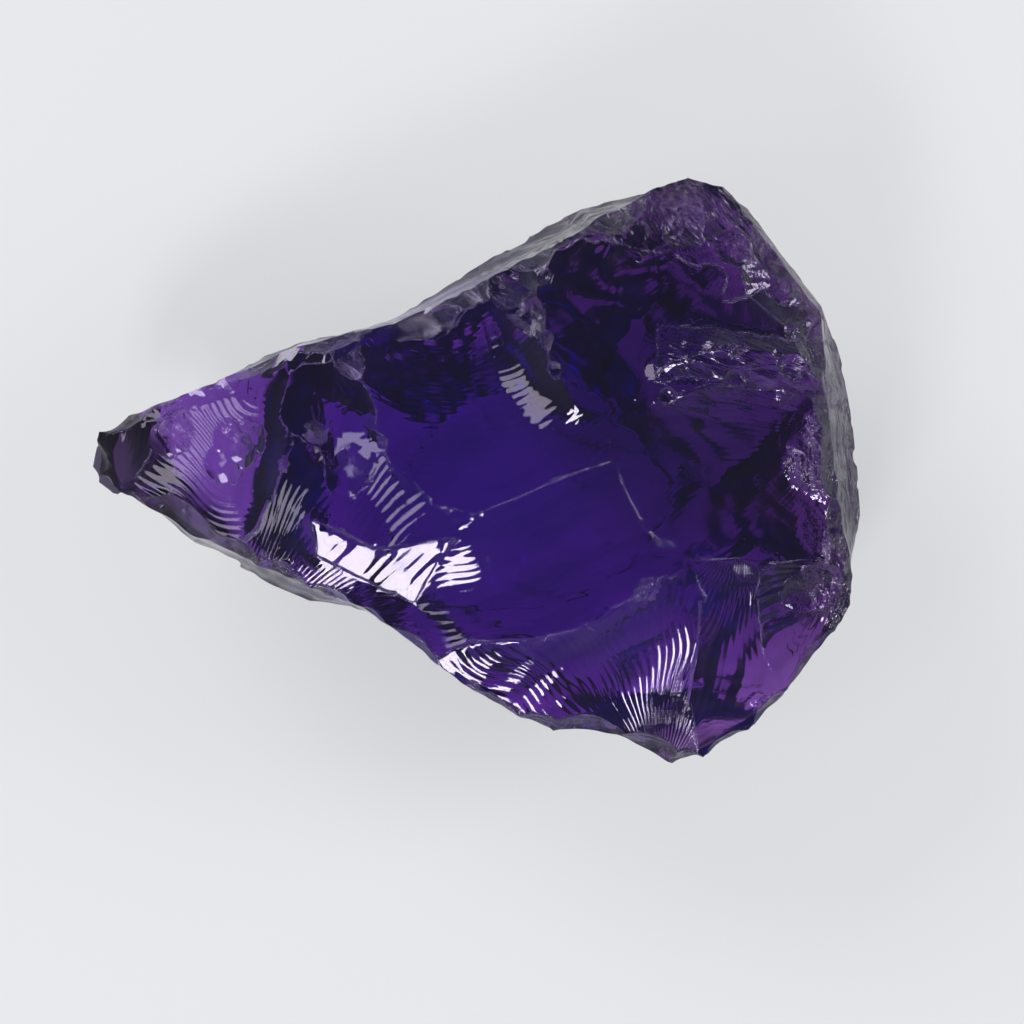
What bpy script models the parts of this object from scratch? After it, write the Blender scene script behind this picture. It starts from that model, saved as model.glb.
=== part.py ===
"""Rough amethyst: one broken lump of violet quartz, lying on its flattest face.

Metres, +Z up. The origin is on the surface that the lump lies on, under the middle of its box.
+X runs from the thin tip to the thick end, and +Z is the side that faces a person looking down on it.

The lump is a closed skin of fracture faces. Two nets of sharp edges are drawn in plan, one over its upper
side and one over its lower side. A band of side faces joins their rims. Each face of that skin is then
refined, drawn smooth between its edges, hollowed or domed to its own radius, and given the ripples that
spread from where the blow landed. Last, flakes are struck off it.
"""

import math

import bmesh
import bpy
import numpy as np
from mathutils import Matrix, Vector, noise
from mathutils.geometry import delaunay_2d_cdt

MM = 0.001
VIOLET = (0.16, 0.06, 0.34, 1.0)
FRACTURE_ROUGHNESS = 0.06
QUARTZ_IOR = 1.54

# Driving dimensions, in millimetres
GRID = 1.5
LEVELS = 1
EDGE_WOBBLE = 0.035
SWELL_HEIGHT = 0.16
SWELL_SPAN = 5.0
BASE_CLEARANCE = 0.03
RIPPLE_EDGE = 0.5
FLAKE_DETAIL = 3

# The rim, clockwise from the tip as seen from above: where the upper side ends, and where the lower side ends
RIM = [
    ((-18.2, 0.8, 8.6), (-18.3, 0.2, 6.6)),
    ((-17.7, 1.9, 9.2), (-18.0, 1.3, 6.9)),
    ((-16.3, 2.7, 9.8), (-16.5, 2.6, 7.0)),
    ((-14.3, 3.5, 10.3), (-14.4, 3.4, 5.6)),
    ((-12.0, 4.4, 10.8), (-12.0, 4.5, 5.2)),
    ((-10.0, 5.2, 11.4), (-10.1, 5.6, 5.2)),
    ((-8.3, 5.9, 11.8), (-8.3, 6.1, 6.0)),
    ((-6.2, 6.5, 12.0), (-6.2, 6.7, 6.8)),
    ((-3.6, 7.0, 12.6), (-3.7, 7.4, 7.2)),
    ((-1.0, 8.2, 13.2), (-1.3, 8.9, 7.8)),
    ((1.4, 9.3, 13.6), (1.1, 10.3, 8.2)),
    ((3.7, 10.5, 13.9), (3.3, 11.7, 8.6)),
    ((6.0, 11.7, 14.1), (5.2, 12.6, 9.0)),
    ((8.1, 13.0, 14.2), (7.5, 13.1, 9.2)),
    ((10.2, 13.8, 14.0), (10.2, 13.9, 9.2)),
    ((11.8, 13.4, 13.8), (11.9, 13.6, 9.0)),
    ((12.9, 12.3, 13.6), (13.2, 12.6, 8.6)),
    ((14.0, 10.8, 13.4), (14.5, 10.9, 8.4)),
    ((15.5, 8.9, 13.2), (15.8, 9.3, 8.2)),
    ((16.5, 7.6, 13.0), (16.8, 8.0, 8.0)),
    ((16.7, 6.0, 13.2), (17.5, 6.0, 7.8)),
    ((16.4, 4.1, 13.6), (18.0, 4.0, 7.8)),
    ((16.8, 2.2, 13.5), (18.3, 2.0, 8.0)),
    ((17.0, 0.1, 13.3), (18.5, -0.1, 8.2)),
    ((17.2, -2.0, 12.9), (18.5, -2.0, 8.2)),
    ((17.6, -3.7, 12.3), (18.3, -3.8, 7.6)),
    ((18.1, -5.0, 11.6), (18.1, -5.1, 6.6)),
    ((18.0, -6.3, 11.0), (18.0, -6.3, 6.0)),
    ((17.3, -7.7, 10.6), (17.2, -7.7, 5.8)),
    ((16.0, -9.1, 10.4), (16.0, -9.0, 5.8)),
    ((14.8, -10.6, 10.3), (14.6, -10.5, 6.0)),
    ((14.0, -11.7, 10.2), (13.8, -11.4, 6.2)),
    ((12.4, -12.8, 10.0), (12.1, -12.5, 6.2)),
    ((10.7, -13.8, 9.8), (10.6, -13.4, 6.2)),
    ((9.6, -14.0, 9.7), (9.6, -13.5, 6.0)),
    ((8.1, -13.1, 10.0), (8.2, -12.7, 5.4)),
    ((6.4, -12.3, 10.4), (6.5, -11.8, 4.4)),
    ((5.0, -12.2, 10.7), (5.0, -11.7, 3.4)),
    ((3.9, -12.4, 10.7), (3.9, -11.9, 2.6)),
    ((2.1, -11.6, 10.9), (2.2, -11.0, 2.2)),
    ((0.0, -10.4, 11.2), (0.1, -9.9, 2.2)),
    ((-2.1, -8.9, 11.4), (-2.0, -8.5, 2.4)),
    ((-3.7, -7.4, 11.5), (-3.7, -7.7, 2.8)),
    ((-5.1, -6.4, 11.4), (-5.1, -6.7, 3.2)),
    ((-6.5, -5.9, 11.3), (-6.4, -6.4, 3.6)),
    ((-8.0, -5.4, 11.2), (-7.9, -6.3, 4.0)),
    ((-9.7, -4.7, 11.0), (-9.6, -5.5, 4.6)),
    ((-11.4, -3.8, 10.6), (-11.4, -4.5, 4.9)),
    ((-13.3, -2.9, 10.2), (-13.3, -3.4, 7.0)),
    ((-15.2, -1.7, 9.6), (-15.3, -2.2, 7.2)),
    ((-16.8, -0.9, 9.0), (-17.0, -1.2, 7.0)),
    ((-17.9, -0.1, 8.6), (-18.0, -0.4, 6.8)),
]

# Rim places where the band of side faces breaks from one face to the next
SIDE_BREAKS = [2, 6, 8, 12, 14, 17, 19, 21, 26, 30, 34, 38, 44, 48]

# Points where sharp edges meet inside the rim. A number in a crease is a rim place
UPPER_POINTS = {
    "bevel_1": (-15.0, 2.5, 10.1),
    "bevel_2": (-12.5, 3.3, 10.9),
    "bevel_3": (-10.6, 4.0, 11.4),
    "bevel_4": (-9.0, 5.0, 12.0),
    "cap": (-15.5, 0.6, 9.9),
    "neck_1": (-8.3, 3.4, 12.4),
    "neck_2": (-9.0, 0.1, 12.2),
    "neck_3": (-10.1, -2.8, 11.3),
    "smile_0": (-5.9, 4.4, 13.0),
    "smile_1": (-4.9, 2.6, 13.4),
    "smile_2": (-3.6, 0.2, 13.3),
    "smile_3": (-1.9, -1.4, 13.3),
    "smile_4": (0.2, -2.1, 13.4),
    "smile_5": (2.7, -1.1, 13.6),
    "mirror_1": (-7.5, -2.4, 12.35),
    "mirror_2": (-4.6, -3.7, 12.28),
    "mirror_3": (-0.9, -3.2, 12.99),
    "mirror_4": (-2.6, -6.3, 11.58),
    "mirror_5": (-7.3, -4.1, 11.76),
    "arete_1": (3.0, 8.0, 14.5),
    "arete_2": (3.9, 4.9, 14.8),
    "arete_3": (4.9, 3.0, 14.6),
    "meet": (6.6, 2.4, 14.3),
    "meet_low": (6.7, 0.5, 13.9),
    "ledge_1": (7.9, 3.2, 14.4),
    "ledge_2": (10.0, 3.6, 14.7),
    "ledge_3": (11.8, 4.2, 14.9),
    "ledge_4": (13.8, 5.7, 15.0),
    "ledge_5": (15.5, 5.2, 14.6),
    "streak_1": (9.2, 4.9, 14.9),
    "streak_2": (11.7, 5.7, 15.2),
    "crown_1": (7.9, 10.0, 14.9),
    "crown_2": (10.2, 11.0, 14.8),
    "crown_3": (12.4, 10.6, 14.3),
    "shoulder_1": (12.9, 8.2, 14.4),
    "shoulder_2": (15.0, 6.5, 14.4),
    "east_1": (7.9, -2.3, 13.3),
    "east_2": (10.2, -4.4, 12.9),
    "east_3": (12.4, -4.2, 12.9),
    "east_4": (14.0, -4.5, 12.6),
    "east_5": (15.9, -4.3, 12.2),
    "scar_1": (13.5, -6.0, 12.0),
    "scar_2": (13.7, -8.0, 11.2),
    "south_1": (10.9, -6.1, 12.3),
    "south_2": (10.7, -8.5, 11.6),
    "south_3": (10.3, -10.9, 10.8),
    "sill_1": (-0.1, -8.3, 12.0),
    "sill_2": (3.1, -8.0, 12.4),
    "sill_3": (5.6, -7.3, 12.7),
    "sill_4": (8.2, -5.8, 13.0),
}
UPPER_CREASES = [
    [1, "bevel_1", "bevel_2", "bevel_3", "bevel_4", 6],
    ["bevel_1", "cap", 50],
    ["bevel_4", "neck_1", "neck_2", "neck_3", 47],
    [7, "smile_0", "smile_1", "smile_2", "smile_3", "smile_4", "smile_5", "meet_low"],
    [11, "arete_1", "arete_2", "arete_3", "meet", "meet_low"],
    ["meet", "ledge_1", "ledge_2", "ledge_3", "ledge_4", "ledge_5", 21],
    ["ledge_1", "streak_1", "streak_2", "ledge_4"],
    [12, "crown_1", "crown_2", "crown_3", 17],
    ["crown_3", "shoulder_1", "shoulder_2", "ledge_5"],
    ["shoulder_2", 19],
    ["meet_low", "east_1", "east_2", "east_3", "east_4", "east_5", 26],
    ["east_4", "scar_1", "scar_2", 30],
    ["east_2", "south_1", "south_2", "south_3", 33],
    [41, "sill_1", "sill_2", "sill_3", "sill_4", "east_2"],
    ["mirror_1", "mirror_2", "mirror_3", "mirror_4", "mirror_5", "mirror_1"],
]
LOWER_POINTS = {
    "window_1": (-9.1, 4.0, 4.9),
    "window_2": (-8.9, 1.5, 4.6),
    "window_3": (-9.8, -1.3, 4.7),
    "window_4": (-10.7, -3.5, 4.9),
    "window_5": (-14.6, 2.0, 4.9),
    "window_6": (-13.5, -0.3, 4.7),
    "window_7": (-12.0, -2.5, 4.9),
    "foot_1": (-6.7, 3.4, 1.4),
    "foot_2": (-6.3, 0.1, 0.9),
    "foot_3": (-7.0, -3.2, 1.3),
    "base_1": (-3.7, -0.4, 0.0),
    "base_2": (-1.7, 2.1, 0.0),
    "base_3": (2.6, 4.3, 0.0),
    "base_4": (6.6, 3.8, 0.0),
    "base_5": (9.2, 0.4, 0.0),
    "base_6": (8.1, -3.7, 0.0),
    "base_7": (5.4, -5.7, 0.0),
    "base_8": (1.2, -6.1, 0.0),
    "base_9": (-2.4, -4.4, 0.0),
    "north": (8.9, 8.0, 4.0),
    "east": (12.6, 1.5, 2.0),
    "southeast": (12.6, -3.5, 1.6),
    "south": (9.8, -9.0, 2.2),
    "southwest": (6.0, -9.7, 1.4),
}
LOWER_CREASES = [
    [3, "window_5", "window_6", "window_7", 47],
    [5, "window_1", "window_2", "window_3", "window_4", 46],
    [6, "foot_1", "foot_2", "foot_3", 44],
    ["foot_1", "base_2"],
    ["foot_2", "base_1"],
    ["base_1", "base_2", "base_3", "base_4", "base_5", "base_6", "base_7", "base_8", "base_9", "base_1"],
    ["base_9", 42],
    ["base_3", 10],
    ["base_4", "north", 14],
    ["base_5", "east", 20],
    ["base_6", "southeast", 26],
    ["base_7", "south", 31],
    ["south", "southwest", 36],
    ["base_8", "southwest"],
    ["base_8", 40],
]


# Each face by a spot inside it in plan. bowl is the radius it is hollowed to, and swells where it is below zero.
# strike is where the blow landed: ripples of that span and height ring it, and ribs of that height fan from it
PLAIN = {"bowl": 40.0, "strike": (0.0, 0.0, 20.0), "span": 2.4, "ripple": 0.02, "ribs": 0, "rib": 0.0}
SIDE = {"bowl": 30.0, "strike": (0.0, 0.0, 20.0), "span": 1.5, "ripple": 0.05, "ribs": 66, "rib": 0.05}
UPPER_FACES = {
    "tip_cap": {"spot": (-16.9, 0.8), "bowl": 20.0, "strike": (-18.5, 2.5, 9.0), "span": 1.3, "ripple": 0.025},
    "tip_bevel": {"spot": (-12.3, 3.9), "bowl": -60.0, "strike": (-10.0, 6.5, 12.0), "span": 1.1, "ripple": 0.025},
    "tip_top": {"spot": (-12.0, 0.5), "bowl": 38.0, "strike": (-9.5, 5.5, 12.0), "span": 2.2, "ripple": 0.016},
    "front": {"spot": (-6.0, -0.5), "bowl": 85.0, "strike": (-12.0, -9.0, 11.0), "span": 1.6, "ripple": 0.012,
              "ribs": 60, "rib": 0.008},
    "mirror": {"spot": (-4.5, -4.8), "bowl": 400.0, "strike": (-30.0, 22.0, 11.0), "span": 0.57, "ripple": 0.004},
    "smile": {"spot": (0.5, 1.5), "bowl": 32.0, "strike": (-1.0, 11.0, 14.0), "span": 2.2, "ripple": 0.014},
    "flange": {"spot": (8.5, 7.0), "bowl": 55.0, "strike": (14.0, 12.5, 14.0), "span": 2.1, "ripple": 0.045,
               "ribs": 34, "rib": 0.035},
    "streak": {"spot": (8.8, 4.1), "bowl": 12.0, "strike": (6.0, 2.0, 14.0), "span": 1.5, "ripple": 0.02},
    "crown": {"spot": (10.0, 12.0), "bowl": 22.0, "strike": (8.0, 15.5, 14.0), "span": 1.4, "ripple": 0.04,
              "ribs": 46, "rib": 0.05},
    "shoulder": {"spot": (14.2, 8.5), "bowl": 18.0, "strike": (16.5, 9.0, 13.0), "span": 1.3, "ripple": 0.03,
                 "ribs": 30, "rib": 0.03},
    "window": {"spot": (11.0, 0.0), "bowl": 26.0, "strike": (18.0, 2.0, 13.0), "span": 2.6, "ripple": 0.02,
               "ribs": 40, "rib": 0.015},
    "lower_scar": {"spot": (15.6, -7.0), "bowl": 16.0, "strike": (18.2, -4.8, 12.0), "span": 2.0, "ripple": 0.02,
                   "ribs": 44, "rib": 0.035},
    "gully": {"spot": (12.0, -8.0), "bowl": 20.0, "strike": (13.0, -3.0, 13.0), "span": 2.0, "ripple": 0.02,
              "ribs": 36, "rib": 0.015},
    "sill": {"spot": (5.0, -10.0), "bowl": 30.0, "strike": (9.0, -15.0, 10.0), "span": 1.7, "ripple": 0.02,
             "ribs": 40, "rib": 0.012},
}
LOWER_FACES = {
    "base": {"spot": (2.0, -2.0), "bowl": 1e9, "strike": (0.0, 0.0, 0.0), "span": 1.0, "ripple": 0.0},
    "under_tip": {"spot": (-16.0, 0.5), "bowl": 30.0, "strike": (-18.0, 2.0, 6.0), "span": 1.3, "ripple": 0.03},
    "under_window": {"spot": (-11.4, 0.6), "bowl": 20.0, "strike": (-9.0, 6.0, 5.0), "span": 1.6, "ripple": 0.08,
                     "ribs": 30, "rib": 0.05},
    "under_neck": {"spot": (-7.9, 0.0), "bowl": 25.0, "strike": (-8.0, 6.0, 4.0), "span": 1.8, "ripple": 0.05},
    "northwest": {"spot": (-2.5, 5.5), "bowl": 30.0, "strike": (-6.0, 7.0, 7.0), "span": 1.9, "ripple": 0.12,
                  "ribs": 40, "rib": 0.07},
    "foot": {"spot": (-4.8, 1.8), "bowl": 20.0, "strike": (-6.0, 4.0, 2.0), "span": 1.5, "ripple": 0.05},
    "north": {"spot": (5.0, 8.0), "bowl": 24.0, "strike": (9.0, 13.0, 9.0), "span": 2.2, "ripple": 0.10,
              "ribs": 34, "rib": 0.05},
    "heel": {"spot": (-1.5, -6.5), "bowl": 24.0, "strike": (-3.0, -8.0, 3.0), "span": 1.7, "ripple": 0.06,
             "ribs": 40, "rib": 0.03},
    "keel": {"spot": (5.0, -7.5), "bowl": 22.0, "strike": (8.0, -12.0, 3.0), "span": 1.8, "ripple": 0.06,
             "ribs": 44, "rib": 0.04},
    "southeast": {"spot": (12.0, -7.0), "bowl": 24.0, "strike": (16.0, -10.0, 6.0), "span": 2.0, "ripple": 0.07,
                  "ribs": 30, "rib": 0.04},
    "south": {"spot": (3.0, -9.5), "bowl": 20.0, "strike": (6.0, -13.0, 3.0), "span": 1.6, "ripple": 0.05,
              "ribs": 50, "rib": 0.03},
    "south_tip": {"spot": (9.0, -11.0), "bowl": 18.0, "strike": (12.0, -14.0, 6.0), "span": 1.6, "ripple": 0.06},
    "southwest": {"spot": (-4.8, -3.5), "bowl": 26.0, "strike": (-8.0, -6.0, 3.0), "span": 1.8, "ripple": 0.05,
                  "ribs": 36, "rib": 0.03},
    "east": {"spot": (13.5, -1.5), "bowl": 26.0, "strike": (19.0, -4.0, 8.0), "span": 2.1, "ripple": 0.12,
             "ribs": 30, "rib": 0.07},
    "northeast": {"spot": (12.0, 6.0), "bowl": 26.0, "strike": (17.0, 10.0, 8.0), "span": 2.2, "ripple": 0.14,
                  "ribs": 32, "rib": 0.08},
}

# Flakes struck off: a point on the edge, the way the scar faces, the radius of its bowl, and how deep it bites
FLAKES = [
    ((-16.9, 2.2, 9.6), (-0.3, 0.8, 0.5), 3.0, 0.35),
    ((-18.0, 0.5, 8.7), (-0.7, -0.2, 0.9), 2.5, 0.22),
    ((-14.5, -2.0, 9.9), (-0.3, -0.7, 0.8), 4.5, 0.50),
    ((-12.2, -3.5, 10.4), (-0.2, -0.8, 0.6), 3.5, 0.40),
    ((-10.1, -4.7, 10.8), (0.0, -0.9, 0.5), 3.0, 0.40),
    ((-6.9, -5.9, 11.2), (-0.3, -1.0, 0.3), 2.4, 0.40),
    ((-11.0, 4.9, 11.1), (-0.3, 0.8, 0.6), 4.0, 0.30),
    ((-6.9, 6.2, 11.9), (-0.2, 0.8, 0.7), 3.0, 0.35),
    ((-1.8, 7.5, 12.9), (-0.1, 0.45, 0.90), 6.0, 0.22),
    ((2.1, 9.6, 13.7), (-0.2, 0.7, 0.6), 3.0, 0.30),
    ((6.0, 11.7, 14.1), (-0.1, 0.7, 0.7), 4.0, 0.30),
    ((12.4, 10.5, 14.2), (0.2, 0.2, 1.0), 1.3, 0.45),
    ((10.6, 11.4, 14.6), (-0.2, 0.5, 1.0), 3.0, 0.35),
    ((14.0, 10.4, 13.4), (0.8, 0.4, 0.6), 3.0, 0.45),
    ((15.6, 8.6, 13.2), (0.8, 0.4, 0.6), 2.6, 0.40),
    ((16.7, 6.0, 13.2), (0.9, 0.1, 0.6), 3.0, 0.55),
    ((16.9, 3.2, 13.4), (0.9, 0.0, 0.7), 3.4, 0.50),
    ((17.0, 0.2, 13.2), (0.9, 0.0, 0.7), 4.0, 0.50),
    ((17.3, -2.6, 12.7), (0.9, -0.1, 0.7), 3.0, 0.45),
    ((18.1, -5.0, 11.4), (1.0, 0.0, 0.6), 2.0, 0.30),
    ((16.2, -8.9, 10.4), (0.6, -0.6, 0.7), 4.0, 0.40),
    ((14.3, -11.3, 10.2), (0.7, -0.7, 0.5), 2.5, 0.40),
    ((12.4, -12.8, 10.0), (0.4, -0.8, 0.6), 3.0, 0.35),
    ((9.9, -13.9, 9.6), (0.1, -1.0, 0.5), 2.5, 0.35),
    ((7.9, -12.9, 10.1), (-0.2, -0.8, 0.7), 3.0, 0.40),
    ((5.8, -12.2, 10.5), (-0.1, -0.8, 0.6), 3.5, 0.35),
    ((3.7, -12.3, 10.7), (-0.5, -0.7, 0.6), 2.5, 0.35),
    ((1.2, -11.1, 11.0), (-0.5, -0.8, 0.4), 3.0, 0.30),
    ((-2.6, -8.4, 11.4), (-0.6, -0.7, 0.5), 3.0, 0.30),
    ((-6.3, 3.7, 12.8), (-0.30, -0.12, 0.94), 8.0, 0.18),
    ((-4.9, 0.6, 13.0), (-0.28, -0.18, 0.94), 7.0, 0.14),
    ((-14.3, 1.2, 10.4), (-0.20, 0.20, 0.95), 2.4, 0.30),
    ((-11.7, 1.1, 11.3), (0.05, 0.10, 0.97), 2.8, 0.36),
    ((15.2, -6.9, 11.6), (0.30, -0.25, 0.92), 7.0, 0.35),
    ((1.9, 6.9, 3.5), (-0.2, 0.6, -0.8), 6.0, 0.60),
    ((7.8, 6.0, 2.1), (0.2, 0.6, -0.8), 6.0, 0.60),
    ((11.0, 0.9, 1.0), (0.5, 0.3, -0.9), 5.0, 0.50),
    ((7.8, -7.3, 1.2), (0.4, -0.5, -0.8), 5.0, 0.50),
    ((-7.0, -3.6, 1.8), (-0.6, -0.4, -0.7), 4.0, 0.50),
    ((-6.6, 1.8, 1.2), (-0.8, 0.2, -0.6), 4.0, 0.40),
]
FLAKE_RIPPLE = 0.03
FLAKE_RIPPLE_SPAN = 0.9
FLAKE_UNEVEN = 0.06
FLAKE_UNEVEN_RATE = 1.1
STRUCK_ASIDE = 0.4
BALL_GAP = 1.1

# How the net is filled and drawn. A rate is turns of the noise per millimetre
GRID_JITTER = 0.2
GRID_RATE = 0.9
EDGE_GAP = 0.55
FACING_UP = 0.05
TIGHT_ROUNDS = 25
SIDE_ROWS = 4
NOISE_SEED = 11
KEPT_AFTER_CUT = 0.8
EDGE_RATE = 1.7
EDGE_SHIFT = Vector((3.1, 7.7, 1.3))
RING_DRIFT = 0.8
RING_RATE = 0.22
STRENGTH_SHIFT = Vector((9.0, 4.0, 2.0))
STRENGTH_RATE = 0.35
LEAST_STRENGTH = 0.55
STRENGTH_RANGE = 0.9
FAN_DRIFT = 5.0
FAN_RATE = 0.3
RIB_RATE = 0.5


def even_points(outline, lines, spacing):
    """Points of a triangle grid inside an outline in plan, clear of its sharp edges."""
    xs = [corner.x for corner in outline]
    ys = [corner.y for corner in outline]
    rise = spacing * math.sqrt(3) / 2
    for row in range(math.ceil((max(ys) - min(ys)) / rise)):
        y = min(ys) + (row + 0.5) * rise
        for column in range(math.ceil((max(xs) - min(xs)) / spacing)):
            spot = Vector((min(xs) + (column + 0.5 * (row % 2)) * spacing, y))
            spot += noise.noise_vector(spot.to_3d() * GRID_RATE).xy * spacing * GRID_JITTER
            crossings = 0
            for start, end in zip(outline, outline[1:] + outline[:1]):
                if (start.y > spot.y) != (end.y > spot.y):
                    crossings += spot.x < start.x + (end.x - start.x) * (spot.y - start.y) / (end.y - start.y)
            near = min((spot - nearest_on(spot, *line)).length for line in lines)
            if crossings % 2 and near > spacing * EDGE_GAP:
                yield spot


def nearest_on(spot, start, end):
    along = end - start
    share = (spot - start).dot(along) / along.length_squared
    return start + along * min(1.0, max(0.0, share))


def net_of_faces(skin, rim_side, points, creases, faces_up):
    """Draws one net of sharp edges flat, fills it with even triangles, and lifts its points to their heights."""
    places = {place: Vector(pair[rim_side]) for place, pair in enumerate(RIM)}
    places.update({name: Vector(place) for name, place in points.items()})
    corners = list(places.values())
    names = list(places)
    around = list(range(len(RIM))) + [0]
    lines = []
    for line in [around, *creases]:
        for start, end in zip(line, line[1:]):
            parts = max(1, round((places[end] - places[start]).xy.length / GRID)) if line is not around else 1
            stops = [names.index(start)]
            for part in range(1, parts):
                stops.append(len(corners))
                corners.append(places[start].lerp(places[end], part / parts))
            stops.append(names.index(end))
            lines += zip(stops, stops[1:])
    flat = [corner.xy for corner in corners]
    inside = list(even_points(flat[:len(RIM)], [(flat[start], flat[end]) for start, end in lines], GRID))
    _, _, triangles, sources, _, _ = delaunay_2d_cdt(flat + inside, lines, [], 1, 1e-6)
    raised = corners + [spot.to_3d() for spot in inside]
    middle = sum(corner.z for corner in corners) / len(corners)
    for spot in raised[len(corners):]:
        spot.z = middle
    verts = {source[0]: skin.verts.new(raised[source[0]]) for source in sources}
    for start, end in lines:
        skin.edges.new((verts[start], verts[end])).smooth = False
    for triangle in triangles:
        ring = [verts[sources[corner][0]] for corner in triangle]
        skin.faces.new(ring if faces_up else ring[::-1])
    return [verts[place] for place in range(len(RIM))]


def side_band(skin, upper_rim, lower_rim):
    """Joins the two rims with the side faces, which break from one to the next at the side breaks."""
    for here in range(len(RIM)):
        after = (here + 1) % len(RIM)
        skin.faces.new((upper_rim[here], lower_rim[here], lower_rim[after], upper_rim[after]))
    uprights = [skin.edges.get(pair) for pair in zip(upper_rim, lower_rim)]
    for place in SIDE_BREAKS:
        uprights[place].smooth = False
    bmesh.ops.subdivide_edges(skin, edges=uprights, cuts=SIDE_ROWS - 1, use_grid_fill=True)
    bmesh.ops.triangulate(skin, faces=[face for face in skin.faces if len(face.verts) > 3])
    bmesh.ops.recalc_face_normals(skin, faces=skin.faces)


def number_faces(skin):
    """Gives the triangles between the same sharp edges one number, which they keep as they are refined."""
    number = skin.faces.layers.int["face"]
    count = 0
    for first in skin.faces:
        if first[number]:
            continue
        count += 1
        first[number] = count
        waiting = [first]
        while waiting:
            for edge in waiting.pop().edges:
                if not edge.smooth:
                    continue
                for face in edge.link_faces:
                    if not face[number]:
                        face[number] = count
                        waiting.append(face)
    return count


def breaks_by_number(skin):
    """Finds the number of the face at each named spot, and gives its break to that number."""
    number = skin.faces.layers.int["face"]
    breaks = {}
    for side, faces in ((1, UPPER_FACES), (-1, LOWER_FACES)):
        for details in faces.values():
            spot = Vector((*details["spot"], 0.0))
            turned = [face for face in skin.faces if face.normal.z * side > FACING_UP]
            nearest = min(turned, key=lambda face: distance_in_plan(face, spot))
            breaks[nearest[number]] = {**PLAIN, **details}
    return breaks


def distance_in_plan(face, spot):
    """How far a triangle is from a spot in plan: zero inside it."""
    corners = [vert.co.xy for vert in face.verts]
    gap = 0.0
    turn = 1 if face.normal.z > 0 else -1
    for start, end in zip(corners, corners[1:] + corners[:1]):
        along = end - start
        outside = -turn * along.cross(spot.xy - start) / along.length
        gap = max(gap, outside)
    return gap


def net_arrays(skin):
    """Positions, edge ends, how many neighbours each point has, and which points lie on a sharp edge."""
    skin.verts.index_update()
    places = np.array([vert.co for vert in skin.verts])
    ends = np.array([(edge.verts[0].index, edge.verts[1].index) for edge in skin.edges])
    sharp = np.array([not edge.smooth for edge in skin.edges])
    creased = np.zeros(len(places), bool)
    creased[ends[sharp].ravel()] = True
    neighbours = np.bincount(ends.ravel(), minlength=len(places))
    return places, ends, neighbours, creased


def mean_of_neighbours(values, ends, neighbours):
    total = np.bincount(ends[:, 0], values[ends[:, 1]], len(values))
    total += np.bincount(ends[:, 1], values[ends[:, 0]], len(values))
    return total / neighbours


def draw_tight(skin, rounds):
    """Draws each face tight between its sharp edges, and grows the dome that its bowl is scaled from."""
    places, ends, neighbours, creased = net_arrays(skin)
    dome_layer = skin.verts.layers.float["dome"]
    dome = np.array([vert[dome_layer] for vert in skin.verts])
    squares = ((places[ends[:, 0]] - places[ends[:, 1]]) ** 2).sum(axis=1)
    spread = np.bincount(ends[:, 0], squares, len(places)) + np.bincount(ends[:, 1], squares, len(places))
    rise = spread / neighbours / 4
    free = ~creased
    for _ in range(rounds):
        for axis in range(3):
            places[free, axis] = mean_of_neighbours(places[:, axis], ends, neighbours)[free]
        dome[free] = (mean_of_neighbours(dome, ends, neighbours) + rise)[free]
    for vert, place, height in zip(skin.verts, places, dome):
        vert.co = place
        vert[dome_layer] = height


def refine(skin, levels):
    """Splits every triangle in four, level by level, and lets the sharp edges wander a little each time."""
    draw_tight(skin, 4 * TIGHT_ROUNDS)
    for _ in range(levels):
        old = set(skin.verts)
        bmesh.ops.subdivide_edges(skin, edges=skin.edges, cuts=1, use_grid_fill=True)
        wander(skin, old)
        draw_tight(skin, TIGHT_ROUNDS)


def wander(skin, old):
    """Moves each new point of a sharp edge aside, by a share of the length of the edge that it halves."""
    for vert in skin.verts:
        sharp = [edge for edge in vert.link_edges if not edge.smooth]
        if vert in old or not sharp:
            continue
        reach = EDGE_WOBBLE * sum(edge.calc_length() for edge in sharp)
        shift = noise.noise_vector(vert.co * EDGE_RATE + EDGE_SHIFT) * reach
        if vert.co.z < BASE_CLEARANCE:
            shift.z = 0.0
        vert.co += shift


def relief(place, broken):
    """Height of a face's ripples, which ring the strike, and of its ribs, which fan out from it."""
    away = place - Vector(broken["strike"])
    ring = math.tau * (away.length / broken["span"] + RING_DRIFT * noise.noise(place * RING_RATE))
    strength = LEAST_STRENGTH + STRENGTH_RANGE * noise.noise(place * STRENGTH_RATE + STRENGTH_SHIFT)
    height = broken["ripple"] * math.sin(ring) * strength
    if broken["ribs"]:
        fan = math.atan2(away.y, away.x) * broken["ribs"] + FAN_DRIFT * noise.noise(place * FAN_RATE)
        height += broken["rib"] * math.sin(fan) * (LEAST_STRENGTH + noise.noise(place * RIB_RATE))
    return height


def hollow(skin, breaks):
    """Presses each face into its bowl, and lays the slow swell and the ripples of the break over it."""
    number = skin.faces.layers.int["face"]
    dome_layer = skin.verts.layers.float["dome"]
    skin.normal_update()
    moves = {}
    for vert in skin.verts:
        if vert.co.z <= 0.0:
            continue
        broken = breaks.get(vert.link_faces[0][number], SIDE)
        dome = vert[dome_layer]
        bowl = 2.0 * dome / broken["bowl"]
        ripple = relief(vert.co, broken) * min(1.0, dome / RIPPLE_EDGE)
        swell = SWELL_HEIGHT * noise.noise_vector(vert.co / SWELL_SPAN)
        moves[vert] = swell + vert.normal * (ripple - bowl)
    for vert, move in moves.items():
        vert.co += move
        vert.co.z = max(vert.co.z, BASE_CLEARANCE)


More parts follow.
